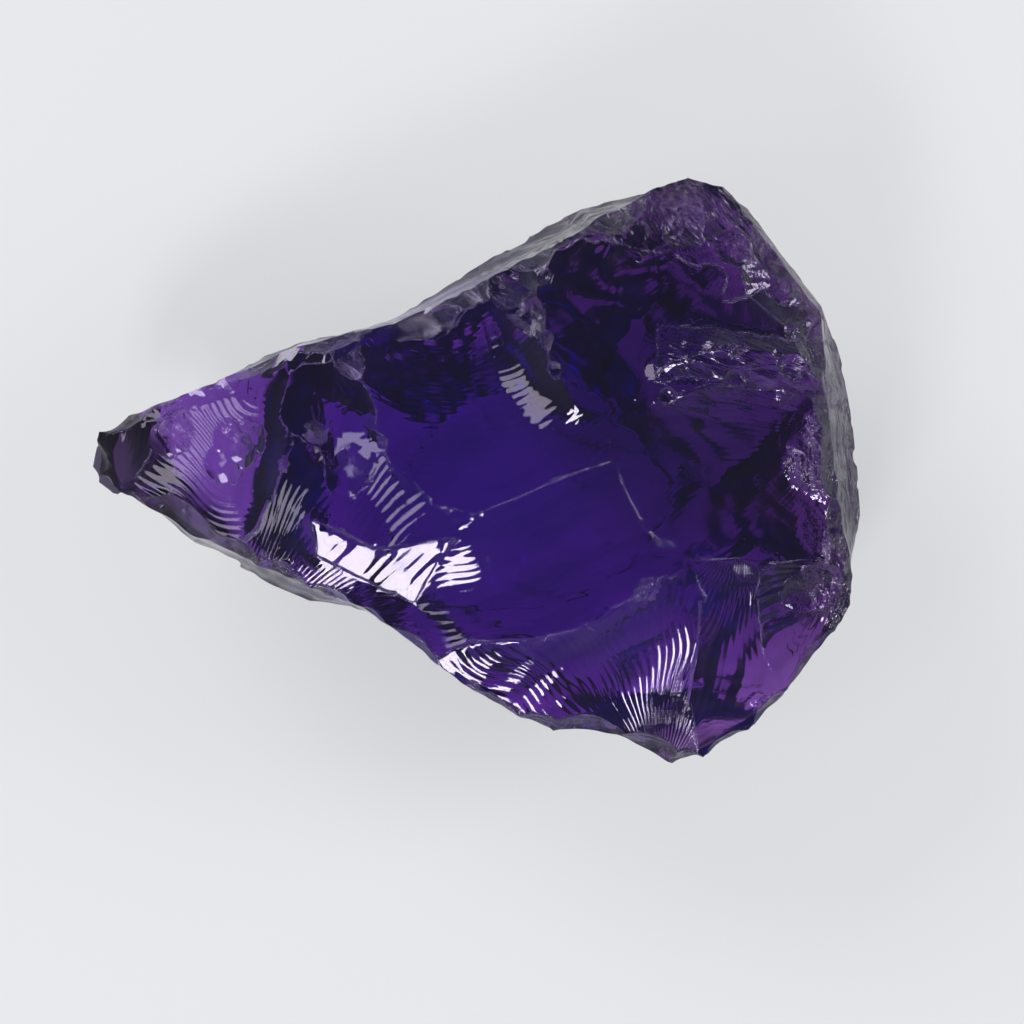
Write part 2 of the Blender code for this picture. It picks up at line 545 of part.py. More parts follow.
def flake_cutter(tools, place, facing, radius, depth, detail):
    """Adds the ball that strikes one flake off, with ripples round the middle of its scar."""
    way = Vector(facing).normalized()
    centre = Vector(place) + way * (radius - depth)
    ball = bmesh.ops.create_icosphere(tools, subdivisions=detail, radius=radius)["verts"]
    struck = centre - way * radius + way.orthogonal() * radius * STRUCK_ASIDE
    for vert in ball:
        outward = vert.co.normalized()
        spot = vert.co + centre
        ring = math.sin(math.tau * (spot - struck).length / FLAKE_RIPPLE_SPAN)
        uneven = noise.noise(spot * FLAKE_UNEVEN_RATE / math.sqrt(radius))
        shift = FLAKE_RIPPLE * ring + FLAKE_UNEVEN * radius * uneven
        vert.co = spot + outward * shift


def build_skin():
    noise.seed_set(NOISE_SEED)
    skin = bmesh.new()
    skin.faces.layers.int.new("face")
    skin.verts.layers.float.new("dome")
    upper_rim = net_of_faces(skin, 0, UPPER_POINTS, UPPER_CREASES, True)
    lower_rim = net_of_faces(skin, 1, LOWER_POINTS, LOWER_CREASES, False)
    side_band(skin, upper_rim, lower_rim)
    skin.normal_update()
    number_faces(skin)
    breaks = breaks_by_number(skin)
    refine(skin, LEVELS)
    hollow(skin, breaks)
    return skin


def cutters_that_stay_apart(flakes):
    """Sorts the flakes into as few groups as it can, with no two balls of one group touching."""
    groups = []
    for flake in flakes:
        place, facing, radius, depth = flake
        centre = Vector(place) + Vector(facing).normalized() * (radius - depth)
        for group in groups:
            if all((centre - other).length > BALL_GAP * (radius + reach) for other, reach, _ in group):
                group.append((centre, radius, flake))
                break
        else:
            groups.append([(centre, radius, flake)])
    return [[flake for _, _, flake in group] for group in groups]


def strike_off(lump, flakes, detail):
    """Strikes the flakes off the lump, one cut for each group of balls that stay apart."""
    for group in cutters_that_stay_apart(flakes):
        if not cut_away(lump, group, detail):
            for flake in group:
                cut_away(lump, [flake], detail)


def cut_away(lump, group, detail):
    """Cuts one group of balls off the lump, and says whether that left a whole lump."""
    tools = bmesh.new()
    for flake in group:
        flake_cutter(tools, *flake, detail)
    mesh = bpy.data.meshes.new("striker")
    tools.to_mesh(mesh)
    tools.free()
    striker = bpy.data.objects.new("striker", mesh)
    bpy.context.scene.collection.objects.link(striker)
    cut = lump.modifiers.new("flakes", "BOOLEAN")
    cut.operation = "DIFFERENCE"
    cut.solver = "EXACT"
    cut.object = striker
    left = bpy.data.meshes.new_from_object(lump.evaluated_get(bpy.context.evaluated_depsgraph_get()))
    lump.modifiers.clear()
    bpy.data.objects.remove(striker)
    whole = len(left.polygons) > KEPT_AFTER_CUT * len(lump.data.polygons)
    if whole:
        lump.data = left
    return whole


def violet_quartz():
    material = bpy.data.materials.new("violet quartz")
    material.use_nodes = True
    shader = material.node_tree.nodes["Principled BSDF"]
    shader.inputs["Base Color"].default_value = VIOLET
    shader.inputs["Roughness"].default_value = FRACTURE_ROUGHNESS
    shader.inputs["Metallic"].default_value = 0.0
    shader.inputs["IOR"].default_value = QUARTZ_IOR
    material.diffuse_color = VIOLET
    return material


def set_down(mesh):
    """Puts the origin under the middle of the lump's box, and turns its millimetres into metres."""
    middle = Vector((0.0, 0.0, 0.0))
    for axis in range(2):
        reach = [vert.co[axis] for vert in mesh.vertices]
        middle[axis] = (min(reach) + max(reach)) / 2
    mesh.transform(Matrix.Scale(MM, 4) @ Matrix.Translation(-middle))


def main():
    for old in list(bpy.data.objects):
        bpy.data.objects.remove(old)
    skin = build_skin()
    mesh = bpy.data.meshes.new("amethyst")
    skin.to_mesh(mesh)
    skin.free()
    lump = bpy.data.objects.new("amethyst", mesh)
    bpy.context.scene.collection.objects.link(lump)
    strike_off(lump, FLAKES, FLAKE_DETAIL)
    set_down(lump.data)
    lump.data.materials.clear()
    lump.data.materials.append(violet_quartz())


main()
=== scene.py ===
"""Looks of the rough amethyst: a broken lump of clear violet quartz on a softly lit pale floor.

The lump is modelled in millimetres from the same net of sharp edges as the solid, only finer, with the ripples
and hackles of each fracture face and the small chips along its edges. Then it is set into the solid's box.
"""

import math
import random

import bmesh
import bpy
import numpy as np
from mathutils import Matrix, Vector, noise
from mathutils.geometry import delaunay_2d_cdt


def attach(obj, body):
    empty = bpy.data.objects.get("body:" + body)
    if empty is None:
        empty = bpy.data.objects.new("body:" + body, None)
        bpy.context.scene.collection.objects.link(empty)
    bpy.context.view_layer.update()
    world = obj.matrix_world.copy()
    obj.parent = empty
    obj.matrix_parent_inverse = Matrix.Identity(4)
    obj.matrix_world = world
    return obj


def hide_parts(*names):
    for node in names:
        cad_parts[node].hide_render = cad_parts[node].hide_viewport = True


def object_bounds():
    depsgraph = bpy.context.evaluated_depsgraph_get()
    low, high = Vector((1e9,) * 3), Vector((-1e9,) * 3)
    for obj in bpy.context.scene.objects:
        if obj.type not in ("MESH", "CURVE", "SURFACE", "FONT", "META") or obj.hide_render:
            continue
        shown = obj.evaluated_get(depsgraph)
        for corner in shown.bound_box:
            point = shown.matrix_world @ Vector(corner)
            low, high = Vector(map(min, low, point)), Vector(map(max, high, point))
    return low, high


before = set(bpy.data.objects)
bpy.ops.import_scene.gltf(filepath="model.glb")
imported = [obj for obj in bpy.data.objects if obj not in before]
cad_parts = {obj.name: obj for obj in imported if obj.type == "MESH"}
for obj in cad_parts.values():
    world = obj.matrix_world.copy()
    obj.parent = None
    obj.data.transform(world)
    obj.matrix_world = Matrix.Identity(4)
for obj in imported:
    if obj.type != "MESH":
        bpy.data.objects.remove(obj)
solid_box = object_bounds()

MM = 0.001

# How finely the lump is modelled, in millimetres
GRID = 1.3
LEVELS = 3
EDGE_WOBBLE = 0.035
SWELL_HEIGHT = 0.16
SWELL_SPAN = 5.0
BASE_CLEARANCE = 0.03
RIPPLE_EDGE = 0.3
FLAKE_DETAIL = 5
CHIP_DETAIL = 4
FLAT_BOWL = 1e6
BASE_BOWL = 16.0
BASE_STRIKE = (8.0, 6.0, 0.0)
BASE_RIPPLE = 0.16
BASE_RIPPLE_SPAN = 1.9
BASE_STRENGTH = 0.6
BASE_STRENGTH_RATE = 0.4
BASE_DRIFT = 3.0
BASE_DRIFT_RATE = 0.25

# The finest ribs and rings of a break, which the shading shows: their span and height, and how far they stray
FINE_SPAN = 0.36
FINE_HEIGHT = 0.0022
FINE_DRIFT = 1.5
FINE_RATE = 0.4
MIRROR_SPAN = 0.57
MIRROR_HEIGHT = 0.0045
MIRROR_DRIFT = 0.4
MIRROR_RATE = 0.6

# Small chips along the ridges: how many, how sharp a ridge is chipped, how low and how close together they lie,
# their middling radius, the range of its share that each takes, how deep they bite, and how far they turn aside
CHIPS = 190
CHIP_SEED = 5
CHIP_MIN_ANGLE = 0.35
CHIP_FLOOR = 0.8
CHIP_GAP = 0.9
CHIP_RADIUS = 0.55
CHIP_SHARES = (0.5, 2.0)
CHIP_DEPTHS = (0.08, 0.2)
CHIP_TURN = 0.5

# Small scars that only the looks carry: place, facing, radius and depth of each, as for the flakes of the solid
SMALL_SCARS = [
    ((-11.8, 1.0, 11.1), (0.05, 0.10, 0.97), 1.9, 0.50),
    ((-14.6, 1.3, 10.3), (-0.20, 0.20, 0.95), 1.5, 0.40),
    ((-14.3, -1.5, 7.0), (-0.50, -0.60, -0.60), 2.6, 0.70),
    ((-12.6, -2.6, 6.2), (-0.20, -0.60, -0.70), 2.0, 0.50),
    ((1.6, 8.4, 13.7), (-0.30, 0.40, 0.90), 3.0, 0.30),
    ((2.6, 6.8, 14.3), (-0.40, 0.20, 0.90), 2.4, 0.25),
    ((9.0, 12.3, 14.6), (-0.20, 0.20, 0.95), 2.2, 0.40),
    ((10.3, 12.6, 14.4), (0.10, 0.20, 0.95), 2.0, 0.40),
    ((11.4, 11.9, 14.3), (0.20, 0.10, 0.95), 1.8, 0.35),
    ((12.6, 4.6, 15.0), (0.10, -0.50, 0.85), 1.8, 0.30),
    ((14.9, 4.9, 14.7), (0.20, -0.40, 0.88), 1.6, 0.30),
    ((-8.6, 2.4, 12.4), (-0.30, 0.10, 0.94), 1.6, 0.25),
    ((-12.6, 0.4, 10.9), (0.25, 0.00, 0.95), 1.8, 0.40),
    ((-6.9, 4.3, 12.6), (-0.32, -0.12, 0.94), 9.0, 0.22),
    ((-5.7, 2.9, 13.0), (-0.30, -0.13, 0.94), 9.0, 0.22),
    ((-4.9, 0.0, 13.0), (-0.30, -0.13, 0.94), 8.0, 0.16),
    ((-1.5, 6.9, 12.95), (-0.31, 0.37, 0.88), 6.0, 0.24),
    ((15.9, -6.9, 11.5), (0.25, 0.10, 0.96), 3.0, 0.45),
    ((-5.6, 5.2, 12.7), (-0.31, 0.30, 0.90), 3.0, 0.22),
]

# Quartz: how it bends light, how much red, green and blue a metre of it takes out, and the tint of its glints
QUARTZ_IOR = 1.544
ABSORPTION = (222.0, 410.0, 100.0)
GLINT_TINT = (0.90, 0.82, 1.0)
SHARP_ANGLE = 24.0

# Colour: a blue core turning violet outwards, denser zones, dark tips, thin veils, and painted shade beyond the
# neck
BLUE_CORE = (0.62, 0.60, 1.0)
VIOLET_RIM = (1.0, 0.86, 1.0)
DENSE_VIOLET = (0.36, 0.33, 0.38)
DARK_TIP = (0.16, 0.14, 0.18)
SOUTH_TIP_SHARE = 0.65
# The veils' colour, which also darkens the thin tip beyond the neck as painted shade
VEIL_AND_TIP_SHADE_VIOLET = (0.62, 0.66, 0.76)
VEIL_RATE = 0.8
VEIL_STREAKS = (0.5, 0.3)
VEIL_FADE = (0.0, 0.4)
CORE_PLACE = (1.0, -1.0)
CORE_SHARE = 0.08
CORE_DRIFT = 0.15
CORE_RATE = 0.12
CORE_FADE = (0.15, 0.75)
MIST_RATE = 0.42
FINER_MIST_RATE = 0.9
FINER_MIST = 0.5

# Zones in plan: how much x, y and the mist count, where the zone starts, and where it is full
ZONES = {
    "dense": (1.0, 0.8, 1.5, 3.5, 11.0),
    "west_tip": (1.0, 0.9, 1.5, -13.0, -14.4),
    "south_tip": (0.0, 1.0, 1.5, -11.0, -12.7),
    # Painted shade: the thin tip beyond the neck is darkened with the veils' colour
    "painted_shade_beyond_neck": (1.0, 0.0, 1.0, -8.5, -10.5),
    "right_edge": (1.0, 0.0, 3.0, 15.0, 17.6),
    "crown": (0.4, 1.0, 1.5, 13.6, 15.6),
}
LEDGE_SLOPE = 0.13
LEDGE_LINE = 6.8
LEDGE_MIST = 0.5
LEDGE_REACH = (1.3, 0.5)
LEDGE_START = (8.5, 10.0)
UNDERSIDE = (8.5, 6.5)
PATCHES = (0.15, 0.6)

# Frost of each zone, and how high the grain of the break stands there and which way it is drawn out
CLEAR_FROST = 0.02
PATCH_FROST = 0.05
UNDER_FROST = 0.20
EDGE_FROST = 0.20
LEDGE_FROST = 0.10
GRAIN_RATE = 1.4
GRAIN_DETAIL = 3.0
GRAIN_LIFT = 0.006
PIT_LIFT = 0.45
PLUME_LIFT = 0.50
HACKLE_LIFT = 0.40
LEDGE_STREAKS = (-0.35, 0.22)
CROWN_STREAKS = (-0.95, 0.25)

# Floor, room and lamps. A lamp has its place in metres, its width and depth, and its power
FLOOR_COLOUR = (0.30, 0.30, 0.305)
FLOOR_ROUGHNESS = 0.9
FLOOR_SPECULAR = 0.1
FLOOR_GLOW = (0.96, 0.97, 1.0)
FLOOR_GLOW_STRENGTH = 0.48
FLOOR_HALF = 1.5
FLOOR_GAP = 0.00005
SKY_STOPS = [
    (0.0, (0.75, 0.77, 0.80)),
    (0.25, (0.60, 0.61, 0.63)),
    (0.8, (0.26, 0.26, 0.27)),
    (1.0, (0.22, 0.22, 0.23)),
]
LAMPS = [
    ("window", (-0.25, 0.30, 0.25), (0.20, 0.20), 1.2),
    ("strip", (-0.084, -0.228, 0.252), (0.080, 0.080), 0.44),
    ("glint", (-0.200, -0.080, 0.276), (0.090, 0.090), 0.11),
    ("fill", (0.30, 0.05, 0.16), (0.12, 0.12), 0.5),
]
LAMP_AIM = (0.0, 0.0, 0.01)
BOUNCES = 10

# Camera: straight above, far enough for a long lens
PIXELS = 1024
PIXELS_PER_MM = 21.0
LUMP_MIDDLE_PIXEL = (475.0, 472.0)
SENSOR = 36.0
LENS = 200.0
FOCUS_HEIGHT = 10.0
CLIP_START = 0.01

# The rim, clockwise from the tip as seen from above: where the upper side ends, and where the lower side ends
RIM = [
    ((-18.2, 0.8, 8.6), (-18.3, 0.2, 6.6)),
    ((-17.7, 1.9, 9.2), (-18.0, 1.3, 6.9)),
    ((-16.3, 2.7, 9.8), (-16.5, 2.6, 7.0)),
    ((-14.3, 3.5, 10.3), (-14.4, 3.4, 5.6)),
    ((-12.0, 4.4, 10.8), (-12.0, 4.5, 5.2)),
    ((-10.0, 5.2, 11.4), (-10.1, 5.6, 5.2)),
    ((-8.3, 5.9, 11.8), (-8.3, 6.1, 6.0)),
    ((-6.2, 6.5, 12.0), (-6.2, 6.7, 6.8)),
    ((-3.6, 7.0, 12.6), (-3.7, 7.4, 7.2)),
    ((-1.0, 8.2, 13.2), (-1.3, 8.9, 7.8)),
    ((1.4, 9.3, 13.6), (1.1, 10.3, 8.2)),
    ((3.7, 10.5, 13.9), (3.3, 11.7, 8.6)),
    ((6.0, 11.7, 14.1), (5.2, 12.6, 9.0)),
    ((8.1, 13.0, 14.2), (7.5, 13.1, 9.2)),
    ((10.2, 13.8, 14.0), (10.2, 13.9, 9.2)),
    ((11.8, 13.4, 13.8), (11.9, 13.6, 9.0)),
    ((12.9, 12.3, 13.6), (13.2, 12.6, 8.6)),
    ((14.0, 10.8, 13.4), (14.5, 10.9, 8.4)),
    ((15.5, 8.9, 13.2), (15.8, 9.3, 8.2)),
    ((16.5, 7.6, 13.0), (16.8, 8.0, 8.0)),
    ((16.7, 6.0, 13.2), (17.5, 6.0, 7.8)),
    ((16.4, 4.1, 13.6), (18.0, 4.0, 7.8)),
    ((16.8, 2.2, 13.5), (18.3, 2.0, 8.0)),
    ((17.0, 0.1, 13.3), (18.5, -0.1, 8.2)),
    ((17.2, -2.0, 12.9), (18.5, -2.0, 8.2)),
    ((17.6, -3.7, 12.3), (18.3, -3.8, 7.6)),
    ((18.1, -5.0, 11.6), (18.1, -5.1, 6.6)),
    ((18.0, -6.3, 11.0), (18.0, -6.3, 6.0)),
    ((17.3, -7.7, 10.6), (17.2, -7.7, 5.8)),
    ((16.0, -9.1, 10.4), (16.0, -9.0, 5.8)),
    ((14.8, -10.6, 10.3), (14.6, -10.5, 6.0)),
    ((14.0, -11.7, 10.2), (13.8, -11.4, 6.2)),
    ((12.4, -12.8, 10.0), (12.1, -12.5, 6.2)),
    ((10.7, -13.8, 9.8), (10.6, -13.4, 6.2)),
    ((9.6, -14.0, 9.7), (9.6, -13.5, 6.0)),
    ((8.1, -13.1, 10.0), (8.2, -12.7, 5.4)),
    ((6.4, -12.3, 10.4), (6.5, -11.8, 4.4)),
    ((5.0, -12.2, 10.7), (5.0, -11.7, 3.4)),
    ((3.9, -12.4, 10.7), (3.9, -11.9, 2.6)),
    ((2.1, -11.6, 10.9), (2.2, -11.0, 2.2)),
    ((0.0, -10.4, 11.2), (0.1, -9.9, 2.2)),
    ((-2.1, -8.9, 11.4), (-2.0, -8.5, 2.4)),
    ((-3.7, -7.4, 11.5), (-3.7, -7.7, 2.8)),
    ((-5.1, -6.4, 11.4), (-5.1, -6.7, 3.2)),
    ((-6.5, -5.9, 11.3), (-6.4, -6.4, 3.6)),
    ((-8.0, -5.4, 11.2), (-7.9, -6.3, 4.0)),
    ((-9.7, -4.7, 11.0), (-9.6, -5.5, 4.6)),
    ((-11.4, -3.8, 10.6), (-11.4, -4.5, 4.9)),
    ((-13.3, -2.9, 10.2), (-13.3, -3.4, 7.0)),
    ((-15.2, -1.7, 9.6), (-15.3, -2.2, 7.2)),
    ((-16.8, -0.9, 9.0), (-17.0, -1.2, 7.0)),
    ((-17.9, -0.1, 8.6), (-18.0, -0.4, 6.8)),
]

# Rim places where the band of side faces breaks from one face to the next
SIDE_BREAKS = [2, 6, 8, 12, 14, 17, 19, 21, 26, 30, 34, 38, 44, 48]

# Points where sharp edges meet inside the rim. A number in a crease is a rim place
UPPER_POINTS = {
    "bevel_1": (-15.0, 2.5, 10.1),
    "bevel_2": (-12.5, 3.3, 10.9),
    "bevel_3": (-10.6, 4.0, 11.4),
    "bevel_4": (-9.0, 5.0, 12.0),
    "cap": (-15.5, 0.6, 9.9),
    "neck_1": (-8.3, 3.4, 12.4),
    "neck_2": (-9.0, 0.1, 12.2),
    "neck_3": (-10.1, -2.8, 11.3),
    "smile_0": (-5.9, 4.4, 13.0),
    "smile_1": (-4.9, 2.6, 13.4),
    "smile_2": (-3.6, 0.2, 13.3),
    "smile_3": (-1.9, -1.4, 13.3),
    "smile_4": (0.2, -2.1, 13.4),
    "smile_5": (2.7, -1.1, 13.6),
    "mirror_1": (-7.5, -2.4, 12.35),
    "mirror_2": (-4.6, -3.7, 12.28),
    "mirror_3": (-0.9, -3.2, 12.99),
    "mirror_4": (-2.6, -6.3, 11.58),
    "mirror_5": (-7.3, -4.1, 11.76),
    "arete_1": (3.0, 8.0, 14.5),
    "arete_2": (3.9, 4.9, 14.8),
    "arete_3": (4.9, 3.0, 14.6),
    "meet": (6.6, 2.4, 14.3),
    "meet_low": (6.7, 0.5, 13.9),
    "ledge_1": (7.9, 3.2, 14.4),
    "ledge_2": (10.0, 3.6, 14.7),
    "ledge_3": (11.8, 4.2, 14.9),
    "ledge_4": (13.8, 5.7, 15.0),
    "ledge_5": (15.5, 5.2, 14.6),
    "streak_1": (9.2, 4.9, 14.9),
    "streak_2": (11.7, 5.7, 15.2),
    "crown_1": (7.9, 10.0, 14.9),
    "crown_2": (10.2, 11.0, 14.8),
    "crown_3": (12.4, 10.6, 14.3),
    "shoulder_1": (12.9, 8.2, 14.4),
    "shoulder_2": (15.0, 6.5, 14.4),
    "east_1": (7.9, -2.3, 13.3),
    "east_2": (10.2, -4.4, 12.9),
    "east_3": (12.4, -4.2, 12.9),
    "east_4": (14.0, -4.5, 12.6),
    "east_5": (15.9, -4.3, 12.2),
    "scar_1": (13.5, -6.0, 12.0),
    "scar_2": (13.7, -8.0, 11.2),
    "south_1": (10.9, -6.1, 12.3),
    "south_2": (10.7, -8.5, 11.6),
    "south_3": (10.3, -10.9, 10.8),
    "sill_1": (-0.1, -8.3, 12.0),
    "sill_2": (3.1, -8.0, 12.4),
    "sill_3": (5.6, -7.3, 12.7),
    "sill_4": (8.2, -5.8, 13.0),
}
UPPER_CREASES = [
    [1, "bevel_1", "bevel_2", "bevel_3", "bevel_4", 6],
    ["bevel_1", "cap", 50],
    ["bevel_4", "neck_1", "neck_2", "neck_3", 47],
    [7, "smile_0", "smile_1", "smile_2", "smile_3", "smile_4", "smile_5", "meet_low"],
    [11, "arete_1", "arete_2", "arete_3", "meet", "meet_low"],
    ["meet", "ledge_1", "ledge_2", "ledge_3", "ledge_4", "ledge_5", 21],
    ["ledge_1", "streak_1", "streak_2", "ledge_4"],
    [12, "crown_1", "crown_2", "crown_3", 17],
    ["crown_3", "shoulder_1", "shoulder_2", "ledge_5"],
    ["shoulder_2", 19],
    ["meet_low", "east_1", "east_2", "east_3", "east_4", "east_5", 26],
    ["east_4", "scar_1", "scar_2", 30],
    ["east_2", "south_1", "south_2", "south_3", 33],
    [41, "sill_1", "sill_2", "sill_3", "sill_4", "east_2"],
    ["mirror_1", "mirror_2", "mirror_3", "mirror_4", "mirror_5", "mirror_1"],
]
LOWER_POINTS = {
    "window_1": (-9.1, 4.0, 4.9),
    "window_2": (-8.9, 1.5, 4.6),
    "window_3": (-9.8, -1.3, 4.7),
    "window_4": (-10.7, -3.5, 4.9),
    "window_5": (-14.6, 2.0, 4.9),
    "window_6": (-13.5, -0.3, 4.7),
    "window_7": (-12.0, -2.5, 4.9),
    "foot_1": (-6.7, 3.4, 1.4),
    "foot_2": (-6.3, 0.1, 0.9),
    "foot_3": (-7.0, -3.2, 1.3),
    "base_1": (-3.7, -0.4, 0.0),
    "base_2": (-1.7, 2.1, 0.0),
    "base_3": (2.6, 4.3, 0.0),
    "base_4": (6.6, 3.8, 0.0),
    "base_5": (9.2, 0.4, 0.0),
    "base_6": (8.1, -3.7, 0.0),
    "base_7": (5.4, -5.7, 0.0),
    "base_8": (1.2, -6.1, 0.0),
    "base_9": (-2.4, -4.4, 0.0),
    "north": (8.9, 8.0, 4.0),
    "east": (12.6, 1.5, 2.0),
    "southeast": (12.6, -3.5, 1.6),
    "south": (9.8, -9.0, 2.2),
    "southwest": (6.0, -9.7, 1.4),
}
LOWER_CREASES = [
    [3, "window_5", "window_6", "window_7", 47],
    [5, "window_1", "window_2", "window_3", "window_4", 46],
    [6, "foot_1", "foot_2", "foot_3", 44],
    ["foot_1", "base_2"],
    ["foot_2", "base_1"],
    ["base_1", "base_2", "base_3", "base_4", "base_5", "base_6", "base_7", "base_8", "base_9", "base_1"],
    ["base_9", 42],
    ["base_3", 10],
    ["base_4", "north", 14],
    ["base_5", "east", 20],
    ["base_6", "southeast", 26],
    ["base_7", "south", 31],
    ["south", "southwest", 36],
    ["base_8", "southwest"],
    ["base_8", 40],
]


# Each face by a spot inside it in plan. bowl is the radius it is hollowed to, and swells where it is below zero.
# strike is where the blow landed: ripples of that span and height ring it, and ribs of that height fan from it.
# fine is the height of its finest ribs or rings, where that isn't the usual one
PLAIN = {"bowl": 40.0, "strike": (0.0, 0.0, 20.0), "span": 2.4, "ripple": 0.02, "ribs": 0, "rib": 0.0}
SIDE = {"bowl": 30.0, "strike": (0.0, 0.0, 20.0), "span": 1.5, "ripple": 0.05, "ribs": 66, "rib": 0.05}
UPPER_FACES = {
    "tip_cap": {"spot": (-16.9, 0.8), "bowl": 20.0, "strike": (-18.5, 2.5, 9.0), "span": 1.3, "ripple": 0.025},
    "tip_bevel": {"spot": (-12.3, 3.9), "bowl": -60.0, "strike": (-10.0, 6.5, 12.0), "span": 1.1,
                  "ripple": 0.025},
    "tip_top": {"spot": (-12.0, 0.5), "bowl": 38.0, "strike": (-9.5, 5.5, 12.0), "span": 2.2, "ripple": 0.016,
                "fine": 0.005},
    "front": {"spot": (-6.0, -0.5), "bowl": 85.0, "strike": (-12.0, -9.0, 11.0), "span": 1.6, "ripple": 0.012,
              "ribs": 60, "rib": 0.008, "fine": 0.003},
    "mirror": {"spot": (-4.5, -4.8), "bowl": 400.0, "strike": (-30.0, 22.0, 11.0), "span": MIRROR_SPAN,
               "ripple": 0.004, "fine": MIRROR_HEIGHT},
    "smile": {"spot": (0.5, 1.5), "bowl": 32.0, "strike": (-1.0, 11.0, 14.0), "span": 2.2, "ripple": 0.014},
    "flange": {"spot": (8.5, 7.0), "bowl": 55.0, "strike": (14.0, 12.5, 14.0), "span": 2.1, "ripple": 0.045,
               "ribs": 34, "rib": 0.035, "fine": 0.0012},
    "streak": {"spot": (8.8, 4.1), "bowl": 12.0, "strike": (6.0, 2.0, 14.0), "span": 1.5, "ripple": 0.02},
    "crown": {"spot": (10.0, 12.0), "bowl": 22.0, "strike": (8.0, 15.5, 14.0), "span": 1.4, "ripple": 0.04,
              "ribs": 46, "rib": 0.05, "fine": 0.01},
    "shoulder": {"spot": (14.2, 8.5), "bowl": 18.0, "strike": (16.5, 9.0, 13.0), "span": 1.3, "ripple": 0.03,
                 "ribs": 30, "rib": 0.03, "fine": 0.006},
    "window": {"spot": (11.0, 0.0), "bowl": 26.0, "strike": (18.0, 2.0, 13.0), "span": 2.6, "ripple": 0.02,
               "ribs": 40, "rib": 0.015, "fine": 0.0015},
    "lower_scar": {"spot": (15.6, -7.0), "bowl": 16.0, "strike": (18.2, -4.8, 12.0), "span": 2.0,
                   "ripple": 0.02, "ribs": 44, "rib": 0.035, "fine": 0.008},
    "gully": {"spot": (12.0, -8.0), "bowl": 20.0, "strike": (13.0, -3.0, 13.0), "span": 2.0, "ripple": 0.02,
              "ribs": 36, "rib": 0.015, "fine": 0.004},
    "sill": {"spot": (5.0, -10.0), "bowl": 30.0, "strike": (9.0, -15.0, 10.0), "span": 1.7, "ripple": 0.02,
             "ribs": 40, "rib": 0.012, "fine": 0.009},
}
LOWER_FACES = {
    "base": {"spot": (2.0, -2.0), "bowl": 1e9, "strike": (0.0, 0.0, 0.0), "span": 1.0, "ripple": 0.0},
    "under_tip": {"spot": (-16.0, 0.5), "bowl": 30.0, "strike": (-18.0, 2.0, 6.0), "span": 1.3, "ripple": 0.03},
    "under_window": {"spot": (-11.4, 0.6), "bowl": 20.0, "strike": (-9.0, 6.0, 5.0), "span": 1.6,
                     "ripple": 0.08, "ribs": 30, "rib": 0.05},
    "under_neck": {"spot": (-7.9, 0.0), "bowl": 25.0, "strike": (-8.0, 6.0, 4.0), "span": 1.8, "ripple": 0.05},
    "northwest": {"spot": (-2.5, 5.5), "bowl": 30.0, "strike": (-6.0, 7.0, 7.0), "span": 1.9, "ripple": 0.12,
                  "ribs": 40, "rib": 0.07},
    "foot": {"spot": (-4.8, 1.8), "bowl": 20.0, "strike": (-6.0, 4.0, 2.0), "span": 1.5, "ripple": 0.05},
    "north": {"spot": (5.0, 8.0), "bowl": 24.0, "strike": (9.0, 13.0, 9.0), "span": 2.2, "ripple": 0.10,
              "ribs": 34, "rib": 0.05, "fine": 0.001},
    "heel": {"spot": (-1.5, -6.5), "bowl": 24.0, "strike": (-3.0, -8.0, 3.0), "span": 1.7, "ripple": 0.06,
             "ribs": 40, "rib": 0.03},
    "keel": {"spot": (5.0, -7.5), "bowl": 22.0, "strike": (8.0, -12.0, 3.0), "span": 1.8, "ripple": 0.06,
             "ribs": 44, "rib": 0.04},
    "southeast": {"spot": (12.0, -7.0), "bowl": 24.0, "strike": (16.0, -10.0, 6.0), "span": 2.0, "ripple": 0.07,
                  "ribs": 30, "rib": 0.04},
    "south": {"spot": (3.0, -9.5), "bowl": 20.0, "strike": (6.0, -13.0, 3.0), "span": 1.6, "ripple": 0.05,
              "ribs": 50, "rib": 0.03},
    "south_tip": {"spot": (9.0, -11.0), "bowl": 18.0, "strike": (12.0, -14.0, 6.0), "span": 1.6, "ripple": 0.06},
    "southwest": {"spot": (-4.8, -3.5), "bowl": 26.0, "strike": (-8.0, -6.0, 3.0), "span": 1.8, "ripple": 0.05,
                  "ribs": 36, "rib": 0.03},
    "east": {"spot": (13.5, -1.5), "bowl": 26.0, "strike": (19.0, -4.0, 8.0), "span": 2.1, "ripple": 0.05,
             "ribs": 30, "rib": 0.02, "fine": 0.001},
    "northeast": {"spot": (12.0, 6.0), "bowl": 26.0, "strike": (17.0, 10.0, 8.0), "span": 2.2, "ripple": 0.06,
                  "ribs": 32, "rib": 0.03},
}

